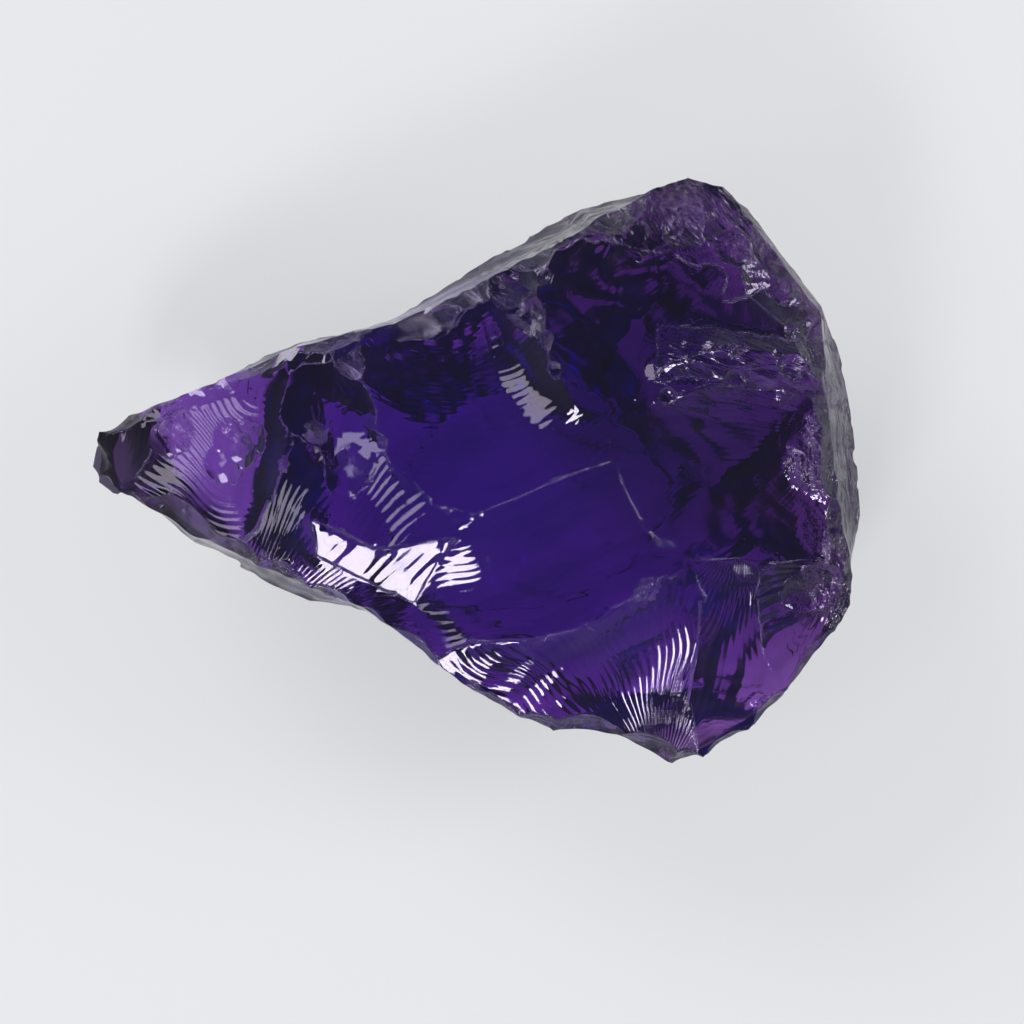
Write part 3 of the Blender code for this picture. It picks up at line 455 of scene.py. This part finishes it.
# Flakes struck off: a point on the edge, the way the scar faces, the radius of its bowl, and how deep it bites
FLAKES = [
    ((-16.9, 2.2, 9.6), (-0.3, 0.8, 0.5), 3.0, 0.35),
    ((-18.0, 0.5, 8.7), (-0.7, -0.2, 0.9), 2.5, 0.22),
    ((-14.5, -2.0, 9.9), (-0.3, -0.7, 0.8), 4.5, 0.50),
    ((-12.2, -3.5, 10.4), (-0.2, -0.8, 0.6), 3.5, 0.40),
    ((-10.1, -4.7, 10.8), (0.0, -0.9, 0.5), 3.0, 0.40),
    ((-6.9, -5.9, 11.2), (-0.3, -1.0, 0.3), 2.4, 0.40),
    ((-11.0, 4.9, 11.1), (-0.3, 0.8, 0.6), 4.0, 0.30),
    ((-6.9, 6.2, 11.9), (-0.2, 0.8, 0.7), 3.0, 0.35),
    ((-1.8, 7.5, 12.9), (-0.1, 0.45, 0.90), 6.0, 0.22),
    ((2.1, 9.6, 13.7), (-0.2, 0.7, 0.6), 3.0, 0.30),
    ((6.0, 11.7, 14.1), (-0.1, 0.7, 0.7), 4.0, 0.30),
    ((12.4, 10.5, 14.2), (0.2, 0.2, 1.0), 1.3, 0.45),
    ((10.6, 11.4, 14.6), (-0.2, 0.5, 1.0), 3.0, 0.35),
    ((14.0, 10.4, 13.4), (0.8, 0.4, 0.6), 3.0, 0.45),
    ((15.6, 8.6, 13.2), (0.8, 0.4, 0.6), 2.6, 0.40),
    ((16.7, 6.0, 13.2), (0.9, 0.1, 0.6), 3.0, 0.55),
    ((16.9, 3.2, 13.4), (0.9, 0.0, 0.7), 3.4, 0.50),
    ((17.0, 0.2, 13.2), (0.9, 0.0, 0.7), 4.0, 0.50),
    ((17.3, -2.6, 12.7), (0.9, -0.1, 0.7), 3.0, 0.45),
    ((18.1, -5.0, 11.4), (1.0, 0.0, 0.6), 2.0, 0.30),
    ((16.2, -8.9, 10.4), (0.6, -0.6, 0.7), 4.0, 0.40),
    ((14.3, -11.3, 10.2), (0.7, -0.7, 0.5), 2.5, 0.40),
    ((12.4, -12.8, 10.0), (0.4, -0.8, 0.6), 3.0, 0.35),
    ((9.9, -13.9, 9.6), (0.1, -1.0, 0.5), 2.5, 0.35),
    ((7.9, -12.9, 10.1), (0.0, -0.9, 0.6), 3.0, 0.40),
    ((5.8, -12.2, 10.5), (-0.1, -0.8, 0.6), 3.5, 0.35),
    ((3.7, -12.3, 10.7), (-0.5, -0.7, 0.6), 2.5, 0.35),
    ((1.2, -11.1, 11.0), (-0.5, -0.8, 0.4), 3.0, 0.30),
    ((-2.6, -8.4, 11.4), (-0.6, -0.7, 0.5), 3.0, 0.30),
    ((-6.3, 3.7, 12.8), (-0.30, -0.12, 0.94), 8.0, 0.18),
    ((-4.9, 0.6, 13.0), (-0.28, -0.18, 0.94), 7.0, 0.14),
    ((-14.3, 1.2, 10.4), (-0.20, 0.20, 0.95), 2.4, 0.30),
    ((-11.7, 1.1, 11.3), (0.05, 0.10, 0.97), 2.8, 0.36),
    ((15.2, -6.9, 11.6), (0.30, -0.25, 0.92), 7.0, 0.35),
    ((1.9, 6.9, 3.5), (-0.2, 0.6, -0.8), 6.0, 0.60),
    ((7.8, 6.0, 2.1), (0.2, 0.6, -0.8), 6.0, 0.60),
    ((11.0, 0.9, 1.0), (0.5, 0.3, -0.9), 5.0, 0.50),
    ((7.8, -7.3, 1.2), (0.4, -0.5, -0.8), 5.0, 0.50),
    ((-7.0, -3.6, 1.8), (-0.6, -0.4, -0.7), 4.0, 0.50),
    ((-6.6, 1.8, 1.2), (-0.8, 0.2, -0.6), 4.0, 0.40),
]
FLAKE_RIPPLE = 0.03
FLAKE_RIPPLE_SPAN = 0.9
FLAKE_UNEVEN = 0.06
FLAKE_UNEVEN_RATE = 1.1
STRUCK_ASIDE = 0.4
BALL_GAP = 1.1

# How the net is filled and drawn. A rate is turns of the noise per millimetre
GRID_JITTER = 0.2
GRID_RATE = 0.9
EDGE_GAP = 0.55
FACING_UP = 0.05
TIGHT_ROUNDS = 25
SIDE_ROWS = 4
NOISE_SEED = 11
KEPT_AFTER_CUT = 0.8
EDGE_RATE = 1.7
EDGE_SHIFT = Vector((3.1, 7.7, 1.3))
RING_DRIFT = 0.8
RING_RATE = 0.22
STRENGTH_SHIFT = Vector((9.0, 4.0, 2.0))
STRENGTH_RATE = 0.35
LEAST_STRENGTH = 0.55
STRENGTH_RANGE = 0.9
FAN_DRIFT = 5.0
FAN_RATE = 0.3
RIB_RATE = 0.5


def even_points(outline, lines, spacing):
    """Points of a triangle grid inside an outline in plan, clear of its sharp edges."""
    xs = [corner.x for corner in outline]
    ys = [corner.y for corner in outline]
    rise = spacing * math.sqrt(3) / 2
    for row in range(math.ceil((max(ys) - min(ys)) / rise)):
        y = min(ys) + (row + 0.5) * rise
        for column in range(math.ceil((max(xs) - min(xs)) / spacing)):
            spot = Vector((min(xs) + (column + 0.5 * (row % 2)) * spacing, y))
            spot += noise.noise_vector(spot.to_3d() * GRID_RATE).xy * spacing * GRID_JITTER
            crossings = 0
            for start, end in zip(outline, outline[1:] + outline[:1]):
                if (start.y > spot.y) != (end.y > spot.y):
                    crossings += spot.x < start.x + (end.x - start.x) * (spot.y - start.y) / (end.y - start.y)
            near = min((spot - nearest_on(spot, *line)).length for line in lines)
            if crossings % 2 and near > spacing * EDGE_GAP:
                yield spot


def nearest_on(spot, start, end):
    along = end - start
    share = (spot - start).dot(along) / along.length_squared
    return start + along * min(1.0, max(0.0, share))


def net_of_faces(skin, rim_side, points, creases, faces_up):
    """Draws one net of sharp edges flat, fills it with even triangles, and lifts its points to their heights."""
    places = {place: Vector(pair[rim_side]) for place, pair in enumerate(RIM)}
    places.update({name: Vector(place) for name, place in points.items()})
    corners = list(places.values())
    names = list(places)
    around = list(range(len(RIM))) + [0]
    lines = []
    for line in [around, *creases]:
        for start, end in zip(line, line[1:]):
            parts = max(1, round((places[end] - places[start]).xy.length / GRID)) if line is not around else 1
            stops = [names.index(start)]
            for part in range(1, parts):
                stops.append(len(corners))
                corners.append(places[start].lerp(places[end], part / parts))
            stops.append(names.index(end))
            lines += zip(stops, stops[1:])
    flat = [corner.xy for corner in corners]
    inside = list(even_points(flat[:len(RIM)], [(flat[start], flat[end]) for start, end in lines], GRID))
    _, _, triangles, sources, _, _ = delaunay_2d_cdt(flat + inside, lines, [], 1, 1e-6)
    raised = corners + [spot.to_3d() for spot in inside]
    middle = sum(corner.z for corner in corners) / len(corners)
    for spot in raised[len(corners):]:
        spot.z = middle
    verts = {source[0]: skin.verts.new(raised[source[0]]) for source in sources}
    for start, end in lines:
        skin.edges.new((verts[start], verts[end])).smooth = False
    for triangle in triangles:
        ring = [verts[sources[corner][0]] for corner in triangle]
        skin.faces.new(ring if faces_up else ring[::-1])
    return [verts[place] for place in range(len(RIM))]


def side_band(skin, upper_rim, lower_rim):
    """Joins the two rims with the side faces, which break from one to the next at the side breaks."""
    for here in range(len(RIM)):
        after = (here + 1) % len(RIM)
        skin.faces.new((upper_rim[here], lower_rim[here], lower_rim[after], upper_rim[after]))
    uprights = [skin.edges.get(pair) for pair in zip(upper_rim, lower_rim)]
    for place in SIDE_BREAKS:
        uprights[place].smooth = False
    bmesh.ops.subdivide_edges(skin, edges=uprights, cuts=SIDE_ROWS - 1, use_grid_fill=True)
    bmesh.ops.triangulate(skin, faces=[face for face in skin.faces if len(face.verts) > 3])
    bmesh.ops.recalc_face_normals(skin, faces=skin.faces)


def number_faces(skin):
    """Gives the triangles between the same sharp edges one number, which they keep as they are refined."""
    number = skin.faces.layers.int["face"]
    count = 0
    for first in skin.faces:
        if first[number]:
            continue
        count += 1
        first[number] = count
        waiting = [first]
        while waiting:
            for edge in waiting.pop().edges:
                if not edge.smooth:
                    continue
                for face in edge.link_faces:
                    if not face[number]:
                        face[number] = count
                        waiting.append(face)


def breaks_by_number(skin):
    """Finds the number of the face at each named spot, and gives its break to that number."""
    number = skin.faces.layers.int["face"]
    breaks = {}
    for side, faces in ((1, UPPER_FACES), (-1, LOWER_FACES)):
        for details in faces.values():
            spot = Vector((*details["spot"], 0.0))
            turned = [face for face in skin.faces if face.normal.z * side > FACING_UP]
            nearest = min(turned, key=lambda face: distance_in_plan(face, spot))
            breaks[nearest[number]] = {**PLAIN, **details}
    return breaks


def distance_in_plan(face, spot):
    """How far a triangle is from a spot in plan: zero inside it."""
    corners = [vert.co.xy for vert in face.verts]
    gap = 0.0
    turn = 1 if face.normal.z > 0 else -1
    for start, end in zip(corners, corners[1:] + corners[:1]):
        along = end - start
        outside = -turn * along.cross(spot.xy - start) / along.length
        gap = max(gap, outside)
    return gap


def net_arrays(skin):
    """Positions, edge ends, how many neighbours each point has, and which points lie on a sharp edge."""
    skin.verts.index_update()
    places = np.array([vert.co for vert in skin.verts])
    ends = np.array([(edge.verts[0].index, edge.verts[1].index) for edge in skin.edges])
    sharp = np.array([not edge.smooth for edge in skin.edges])
    creased = np.zeros(len(places), bool)
    creased[ends[sharp].ravel()] = True
    neighbours = np.bincount(ends.ravel(), minlength=len(places))
    return places, ends, neighbours, creased


def mean_of_neighbours(values, ends, neighbours):
    total = np.bincount(ends[:, 0], values[ends[:, 1]], len(values))
    total += np.bincount(ends[:, 1], values[ends[:, 0]], len(values))
    return total / neighbours


def draw_tight(skin, rounds):
    """Draws each face tight between its sharp edges, and grows the dome that its bowl is scaled from."""
    places, ends, neighbours, creased = net_arrays(skin)
    dome_layer = skin.verts.layers.float["dome"]
    dome = np.array([vert[dome_layer] for vert in skin.verts])
    squares = ((places[ends[:, 0]] - places[ends[:, 1]]) ** 2).sum(axis=1)
    spread = np.bincount(ends[:, 0], squares, len(places)) + np.bincount(ends[:, 1], squares, len(places))
    rise = spread / neighbours / 4
    free = ~creased
    for _ in range(rounds):
        for axis in range(3):
            places[free, axis] = mean_of_neighbours(places[:, axis], ends, neighbours)[free]
        dome[free] = (mean_of_neighbours(dome, ends, neighbours) + rise)[free]
    for vert, place, height in zip(skin.verts, places, dome):
        vert.co = place
        vert[dome_layer] = height


def refine(skin, levels):
    """Splits every triangle in four, level by level, and lets the sharp edges wander a little each time."""
    draw_tight(skin, 4 * TIGHT_ROUNDS)
    for _ in range(levels):
        old = set(skin.verts)
        bmesh.ops.subdivide_edges(skin, edges=skin.edges, cuts=1, use_grid_fill=True)
        wander(skin, old)
        draw_tight(skin, TIGHT_ROUNDS)


def wander(skin, old):
    """Moves each new point of a sharp edge aside, by a share of the length of the edge that it halves."""
    for vert in skin.verts:
        sharp = [edge for edge in vert.link_edges if not edge.smooth]
        if vert in old or not sharp:
            continue
        reach = EDGE_WOBBLE * sum(edge.calc_length() for edge in sharp)
        shift = noise.noise_vector(vert.co * EDGE_RATE + EDGE_SHIFT) * reach
        if vert.co.z < BASE_CLEARANCE:
            shift.z = 0.0
        vert.co += shift


def relief(place, broken):
    """Height of a face's ripples, which ring the strike, and of its ribs, which fan out from it."""
    away = place - Vector(broken["strike"])
    ring = math.tau * (away.length / broken["span"] + RING_DRIFT * noise.noise(place * RING_RATE))
    strength = LEAST_STRENGTH + STRENGTH_RANGE * noise.noise(place * STRENGTH_RATE + STRENGTH_SHIFT)
    height = broken["ripple"] * math.sin(ring) * strength
    if broken["ribs"]:
        fan = math.atan2(away.y, away.x) * broken["ribs"] + FAN_DRIFT * noise.noise(place * FAN_RATE)
        height += broken["rib"] * math.sin(fan) * (LEAST_STRENGTH + noise.noise(place * RIB_RATE))
    return height


def comb(place, broken):
    """How many fine ribs a place is from the middle of its face's fan, or how many rings from the blow."""
    away = (place - Vector(broken["strike"])).xy
    if "spot" in broken and broken["ribs"]:
        middle = Vector(broken["spot"]) - Vector(broken["strike"]).xy
        turn = math.atan2(middle.cross(away), middle.dot(away))
        return turn * middle.length / FINE_SPAN + FINE_DRIFT * noise.noise(place * FINE_RATE)
    if broken["span"] == MIRROR_SPAN:
        return away.length / MIRROR_SPAN + MIRROR_DRIFT * noise.noise(place * MIRROR_RATE)
    return (place - Vector(broken["strike"])).length / FINE_SPAN + FINE_DRIFT * noise.noise(place * FINE_RATE)


def base_lift(place, dome):
    """The resting face is a shallow scar with ripples of its own, which touches the floor along its edges only."""
    ring = math.tau * (place - Vector(BASE_STRIKE)).length / BASE_RIPPLE_SPAN
    strength = BASE_RIPPLE * (BASE_STRENGTH + noise.noise(place * BASE_STRENGTH_RATE))
    ripple = strength * (1.0 + math.sin(ring + BASE_DRIFT * noise.noise(place * BASE_DRIFT_RATE)))
    return Vector((0.0, 0.0, 2.0 * dome / BASE_BOWL + ripple * min(1.0, dome / RIPPLE_EDGE)))


def hollow(skin, breaks):
    """Presses each face into its bowl, and lays the slow swell and the ripples of the break over it."""
    number = skin.faces.layers.int["face"]
    dome_layer = skin.verts.layers.float["dome"]
    comb_layer = skin.verts.layers.float["comb"]
    fine_layer = skin.verts.layers.float["fine"]
    skin.normal_update()
    moves = {}
    for vert in skin.verts:
        dome = vert[dome_layer]
        broken = breaks.get(vert.link_faces[0][number], SIDE)
        if broken["bowl"] > FLAT_BOWL:
            moves[vert] = base_lift(vert.co, dome)
            continue
        vert[comb_layer] = comb(vert.co, broken)
        vert[fine_layer] = broken.get("fine", FINE_HEIGHT) * min(1.0, dome / RIPPLE_EDGE)
        bowl = 2.0 * dome / broken["bowl"]
        ripple = relief(vert.co, broken) * min(1.0, dome / RIPPLE_EDGE)
        swell = SWELL_HEIGHT * noise.noise_vector(vert.co / SWELL_SPAN)
        moves[vert] = swell + vert.normal * (ripple - bowl)
    for vert, move in moves.items():
        lowest = min(vert.co.z, BASE_CLEARANCE)
        vert.co += move
        vert.co.z = max(vert.co.z, lowest)


def flake_cutter(tools, place, facing, radius, depth, detail):
    """Adds the ball that strikes one flake off, with ripples round the middle of its scar."""
    way = Vector(facing).normalized()
    centre = Vector(place) + way * (radius - depth)
    ball = bmesh.ops.create_icosphere(tools, subdivisions=detail, radius=radius)["verts"]
    struck = centre - way * radius + way.orthogonal() * radius * STRUCK_ASIDE
    for vert in ball:
        outward = vert.co.normalized()
        spot = vert.co + centre
        ring = math.sin(math.tau * (spot - struck).length / FLAKE_RIPPLE_SPAN)
        uneven = noise.noise(spot * FLAKE_UNEVEN_RATE / math.sqrt(radius))
        shift = FLAKE_RIPPLE * ring + FLAKE_UNEVEN * radius * uneven
        vert.co = spot + outward * shift


def build_skin():
    noise.seed_set(NOISE_SEED)
    skin = bmesh.new()
    skin.faces.layers.int.new("face")
    for name in ("dome", "comb", "fine"):
        skin.verts.layers.float.new(name)
    upper_rim = net_of_faces(skin, 0, UPPER_POINTS, UPPER_CREASES, True)
    lower_rim = net_of_faces(skin, 1, LOWER_POINTS, LOWER_CREASES, False)
    side_band(skin, upper_rim, lower_rim)
    skin.normal_update()
    number_faces(skin)
    breaks = breaks_by_number(skin)
    refine(skin, LEVELS)
    hollow(skin, breaks)
    return skin


def cutters_that_stay_apart(flakes):
    """Sorts the flakes into as few groups as it can, with no two balls of one group touching."""
    groups = []
    for flake in flakes:
        place, facing, radius, depth = flake
        centre = Vector(place) + Vector(facing).normalized() * (radius - depth)
        for group in groups:
            if all((centre - other).length > BALL_GAP * (radius + reach) for other, reach, _ in group):
                group.append((centre, radius, flake))
                break
        else:
            groups.append([(centre, radius, flake)])
    return [[flake for _, _, flake in group] for group in groups]


def strike_off(lump, flakes, detail):
    """Strikes the flakes off the lump, one cut for each group of balls that stay apart."""
    for group in cutters_that_stay_apart(flakes):
        if not cut_away(lump, group, detail):
            for flake in group:
                cut_away(lump, [flake], detail)


def cut_away(lump, group, detail):
    """Cuts one group of balls off the lump, and says whether that left a whole lump."""
    tools = bmesh.new()
    for flake in group:
        flake_cutter(tools, *flake, detail)
    mesh = bpy.data.meshes.new("striker")
    tools.to_mesh(mesh)
    tools.free()
    striker = bpy.data.objects.new("striker", mesh)
    bpy.context.scene.collection.objects.link(striker)
    cut = lump.modifiers.new("flakes", "BOOLEAN")
    cut.operation = "DIFFERENCE"
    cut.solver = "EXACT"
    cut.object = striker
    left = bpy.data.meshes.new_from_object(lump.evaluated_get(bpy.context.evaluated_depsgraph_get()))
    lump.modifiers.clear()
    bpy.data.objects.remove(striker)
    whole = len(left.polygons) > KEPT_AFTER_CUT * len(lump.data.polygons)
    if whole:
        lump.data = left
    return whole


def edge_chips(skin, count):
    """Picks the places of the small chips along the ridges, well spread, with the way and size of each."""
    chance = random.Random(CHIP_SEED)
    ridges = [edge for edge in skin.edges if not edge.smooth and edge.calc_face_angle_signed() > CHIP_MIN_ANGLE]
    chance.shuffle(ridges)
    chips = []
    for edge in ridges:
        place = (edge.verts[0].co + edge.verts[1].co) / 2
        radius = CHIP_RADIUS * chance.uniform(*CHIP_SHARES)
        facing = (edge.link_faces[0].normal + edge.link_faces[1].normal).normalized()
        facing += CHIP_TURN * noise.noise_vector(place)
        if place.z < CHIP_FLOOR or any((place - Vector(chip[0])).length < CHIP_GAP for chip in chips):
            continue
        chips.append((tuple(place), tuple(facing), radius, radius * chance.uniform(*CHIP_DEPTHS)))
        if len(chips) == count:
            break
    return chips


def lay_in_box(mesh, box):
    """Sets the lump into the solid's own box, and turns its millimetres into metres."""
    places = np.array([vert.co for vert in mesh.vertices])
    lowest, highest = places.min(axis=0), places.max(axis=0)
    low, high = np.array(box[0]), np.array(box[1])
    share = (high - low) / (highest - lowest)
    move = Matrix.Translation(Vector(low - lowest * share))
    mesh.transform(move @ Matrix.Diagonal((*share, 1.0)))


class Socket:
    """One node's output, or a plain number, that sums can be written with."""

    def __init__(self, tree, link):
        self.tree = tree
        self.link = link

    def sum(self, kind, *others):
        return self.node("ShaderNodeMath", {"operation": kind}, [self.link, *others])

    def node(self, kind, settings=None, values=None, output=0):
        return add_node(self.tree, kind, settings, values, output)

    def __add__(self, other):
        return self.sum("ADD", other)

    def __mul__(self, other):
        return self.sum("MULTIPLY", other)


def add_node(tree, kind, settings=None, values=None, output=0):
    """Adds a node: settings first, then the values or links of its sockets by place or by name."""
    made = tree.nodes.new(kind)
    for name, value in (settings or {}).items():
        if name == "stops":
            ramp_stops(made.color_ramp, value)
        else:
            setattr(made, name, value)
    pairs = values.items() if isinstance(values, dict) else enumerate(values or [])
    for place, value in pairs:
        if isinstance(value, Socket):
            value = value.link
        if isinstance(value, bpy.types.NodeSocket):
            tree.links.new(value, made.inputs[place])
        elif value is not None:
            made.inputs[place].default_value = value
    return Socket(tree, made.outputs[output])


def ramp_stops(ramp, stops):
    while len(ramp.elements) < len(stops):
        ramp.elements.new(1.0)
    for element, (place, colour) in zip(ramp.elements, stops):
        element.position = place
        element.color = (*colour, 1.0)


def empty_material(name):
    material = bpy.data.materials.new(name)
    material.use_nodes = True
    material.node_tree.nodes.clear()
    return material, material.node_tree


def fade(value, start, end):
    """0 at the start, 1 at the end, and in between in proportion."""
    return min(1.0, max(0.0, (value - start) / (end - start)))


def drawn_out(place, turn, stretch):
    """The place with its distances along a direction in plan made short, so that noise read there is streaked."""
    along = (place.x * math.cos(turn) + place.y * math.sin(turn)) * stretch
    return Vector((along, place.y * math.cos(turn) - place.x * math.sin(turn), place.z))


def zone(name, place, mist):
    """How far inside a zone a place is, from 0 to 1."""
    across, along, drift, start, full = ZONES[name]
    return fade(place.x * across + place.y * along + mist * drift, start, full)


def colour_of(place, mist):
    """Bluer in the middle, denser to the north and east, darkest at the two tips, with thin veils, and painted
    shade beyond the neck.
    """
    away = (place - Vector((*CORE_PLACE, place.z))).length
    core = away * CORE_SHARE + CORE_DRIFT * noise.noise(place * CORE_RATE)
    colour = Vector(BLUE_CORE).lerp(Vector(VIOLET_RIM), fade(core, *CORE_FADE))
    dense = zone("dense", place, mist)
    tip = max(zone("west_tip", place, mist), SOUTH_TIP_SHARE * zone("south_tip", place, mist))
    veil_and_tip_shade = (1.0 - dense) * fade(noise.noise(drawn_out(place, *VEIL_STREAKS) * VEIL_RATE), *VEIL_FADE)
    # Painted shade: the thin tip beyond the neck is darkened like a veil, as if less light came through it
    veil_and_tip_shade = max(veil_and_tip_shade, zone("painted_shade_beyond_neck", place, mist))
    for share, deep in ((dense, DENSE_VIOLET), (tip, DARK_TIP), (veil_and_tip_shade, VEIL_AND_TIP_SHADE_VIOLET)):
        colour *= Vector((1.0, 1.0, 1.0)).lerp(Vector(deep), share)
    return colour


def finish_points(mesh):
    """Writes on each point its colour, its frost, and how high and along which way its break is streaked."""
    tints, frosts, lifts, leans = [], [], [], []
    for vert in mesh.vertices:
        place = vert.co / MM
        mist = noise.noise(place * MIST_RATE) + FINER_MIST * noise.noise(place * FINER_MIST_RATE)
        right_edge = zone("right_edge", place, mist)
        crown = zone("crown", place, mist)
        off_ledge = abs(place.y + place.x * LEDGE_SLOPE - LEDGE_LINE) + mist * LEDGE_MIST
        ledge = fade(off_ledge, *LEDGE_REACH) * fade(place.x, *LEDGE_START)
        under = fade(place.z, *UNDERSIDE)
        patches = fade(mist, *PATCHES)
        tints += [*colour_of(place, mist), 1.0]
        frosts.append(CLEAR_FROST + PATCH_FROST * patches + UNDER_FROST * under
                      + EDGE_FROST * min(1.0, right_edge + crown) + LEDGE_FROST * ledge)
        lifts.append(GRAIN_LIFT + PIT_LIFT * right_edge + PLUME_LIFT * crown + HACKLE_LIFT * ledge)
        lean = place
        if ledge > 0.0:
            lean = drawn_out(place, *LEDGE_STREAKS)
        elif crown > 0.0 and right_edge == 0.0:
            lean = drawn_out(place, *CROWN_STREAKS)
        leans += [*lean]
    for name, kind, item, values in (("tint", "FLOAT_COLOR", "color", tints), ("frost", "FLOAT", "value", frosts),
                                     ("lift", "FLOAT", "value", lifts), ("lean", "FLOAT_VECTOR", "vector", leans)):
        layer = mesh.attributes.new(name, kind, "POINT")
        layer.data.foreach_set(item, values)


def violet_quartz():
    """Clear violet quartz. Its colour, frost and streaks come from the lump's own points."""
    material, tree = empty_material("violet quartz")
    read = {name: add_node(tree, "ShaderNodeAttribute", {"attribute_name": name}, output=output)
            for name, output in (("tint", 0), ("frost", 2), ("lift", 2), ("lean", 1), ("comb", 2), ("fine", 2))}
    texture = {"Vector": read["lean"], "Scale": GRAIN_RATE, "Detail": GRAIN_DETAIL}
    grain = read["lean"].node("ShaderNodeTexNoise", {}, texture)
    heights = (read["comb"] * math.tau).sum("SINE", 0.0) * read["fine"] + grain * read["lift"]
    relief = heights.node("ShaderNodeBump", {}, {"Strength": 1.0, "Distance": MM, "Height": heights})
    shader = tree.nodes.new("ShaderNodeBsdfPrincipled")
    shader.inputs["IOR"].default_value = QUARTZ_IOR
    shader.inputs["Transmission Weight"].default_value = 1.0
    shader.inputs["Specular Tint"].default_value = (*GLINT_TINT, 1.0)
    tree.links.new(read["tint"].link, shader.inputs["Base Color"])
    tree.links.new(read["frost"].link, shader.inputs["Roughness"])
    tree.links.new(relief.link, shader.inputs["Normal"])
    inside = tree.nodes.new("ShaderNodeVolumeAbsorption")
    density = max(ABSORPTION) * 1.1
    inside.inputs["Density"].default_value = density
    inside.inputs["Color"].default_value = (*[1.0 - taken / density for taken in ABSORPTION], 1.0)
    output = tree.nodes.new("ShaderNodeOutputMaterial")
    tree.links.new(shader.outputs[0], output.inputs["Surface"])
    tree.links.new(inside.outputs[0], output.inputs["Volume"])
    return material


def lit_floor():
    """A pale matt floor with a faint glow of its own, as a light table has."""
    material, tree = empty_material("lit floor")
    shader = tree.nodes.new("ShaderNodeBsdfPrincipled")
    shader.inputs["Base Color"].default_value = (*FLOOR_COLOUR, 1.0)
    shader.inputs["Roughness"].default_value = FLOOR_ROUGHNESS
    shader.inputs["Specular IOR Level"].default_value = FLOOR_SPECULAR
    shader.inputs["Emission Color"].default_value = (*FLOOR_GLOW, 1.0)
    shader.inputs["Emission Strength"].default_value = FLOOR_GLOW_STRENGTH
    output = tree.nodes.new("ShaderNodeOutputMaterial")
    tree.links.new(shader.outputs[0], output.inputs["Surface"])
    return material


def amethyst():
    skin = build_skin()
    chips = edge_chips(skin, CHIPS)
    mesh = bpy.data.meshes.new("rough amethyst")
    skin.to_mesh(mesh)
    skin.free()
    lump = bpy.data.objects.new("rough_amethyst", mesh)
    bpy.context.scene.collection.objects.link(lump)
    strike_off(lump, FLAKES, FLAKE_DETAIL)
    strike_off(lump, SMALL_SCARS, CHIP_DETAIL)
    strike_off(lump, chips, CHIP_DETAIL)
    lay_in_box(lump.data, solid_box)
    finish_points(lump.data)
    lump.data.materials.clear()
    lump.data.materials.append(violet_quartz())
    lump.data.shade_smooth()
    lump.data.set_sharp_from_angle(angle=math.radians(SHARP_ANGLE))
    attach(lump, "root")
    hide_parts("amethyst")


def floor():
    skin = bmesh.new()
    bmesh.ops.create_grid(skin, x_segments=1, y_segments=1, size=FLOOR_HALF)
    mesh = bpy.data.meshes.new("floor")
    skin.to_mesh(mesh)
    skin.free()
    mesh.materials.append(lit_floor())
    ground = bpy.data.objects.new("floor", mesh)
    ground.location.z = -FLOOR_GAP
    bpy.context.scene.collection.objects.link(ground)


def softbox(name, aim_from, size, power):
    """A soft light at a place in metres, turned to the lump."""
    light = bpy.data.lights.new(name, "AREA")
    light.shape = "RECTANGLE"
    light.size, light.size_y = size
    light.energy = power
    lamp = bpy.data.objects.new(name, light)
    lamp.location = aim_from
    lamp.rotation_euler = (Vector(LAMP_AIM) - Vector(aim_from)).to_track_quat("-Z", "Y").to_euler()
    bpy.context.scene.collection.objects.link(lamp)


def studio_sky():
    """A soft room: pale at the horizon and dim overhead, where the camera is."""
    world = bpy.data.worlds.new("studio")
    world.use_nodes = True
    tree = world.node_tree
    tree.nodes.clear()
    way = add_node(tree, "ShaderNodeTexCoord", output=0)
    height = way.node("ShaderNodeSeparateXYZ", {}, [way], output=2)
    shade = height.node("ShaderNodeValToRGB", {"stops": SKY_STOPS}, [height])
    light = tree.nodes.new("ShaderNodeBackground")
    tree.links.new(shade.link, light.inputs["Color"])
    output = tree.nodes.new("ShaderNodeOutputWorld")
    tree.links.new(light.outputs[0], output.inputs["Surface"])
    bpy.context.scene.world = world


def camera_above():
    """Looks straight down, with the lump as far off the picture's middle as in the photo."""
    lens = bpy.data.cameras.new("camera")
    lens.sensor_width = SENSOR
    lens.lens = LENS
    seen = PIXELS / PIXELS_PER_MM
    camera = bpy.data.objects.new("camera", lens)
    camera.location = ((PIXELS / 2 - LUMP_MIDDLE_PIXEL[0]) / PIXELS_PER_MM * MM,
                       (LUMP_MIDDLE_PIXEL[1] - PIXELS / 2) / PIXELS_PER_MM * MM,
                       (seen * LENS / SENSOR + FOCUS_HEIGHT) * MM)
    lens.clip_start = CLIP_START
    bpy.context.scene.collection.objects.link(camera)
    bpy.context.scene.camera = camera


camera_above()
floor()
studio_sky()
for lamp in LAMPS:
    softbox(*lamp)
amethyst()
bpy.context.scene.view_settings.view_transform = "Standard"
cycles = bpy.context.scene.cycles
cycles.max_bounces = BOUNCES
cycles.transmission_bounces = BOUNCES
cycles.diffuse_bounces = 1
cycles.caustics_reflective = False
cycles.caustics_refractive = False
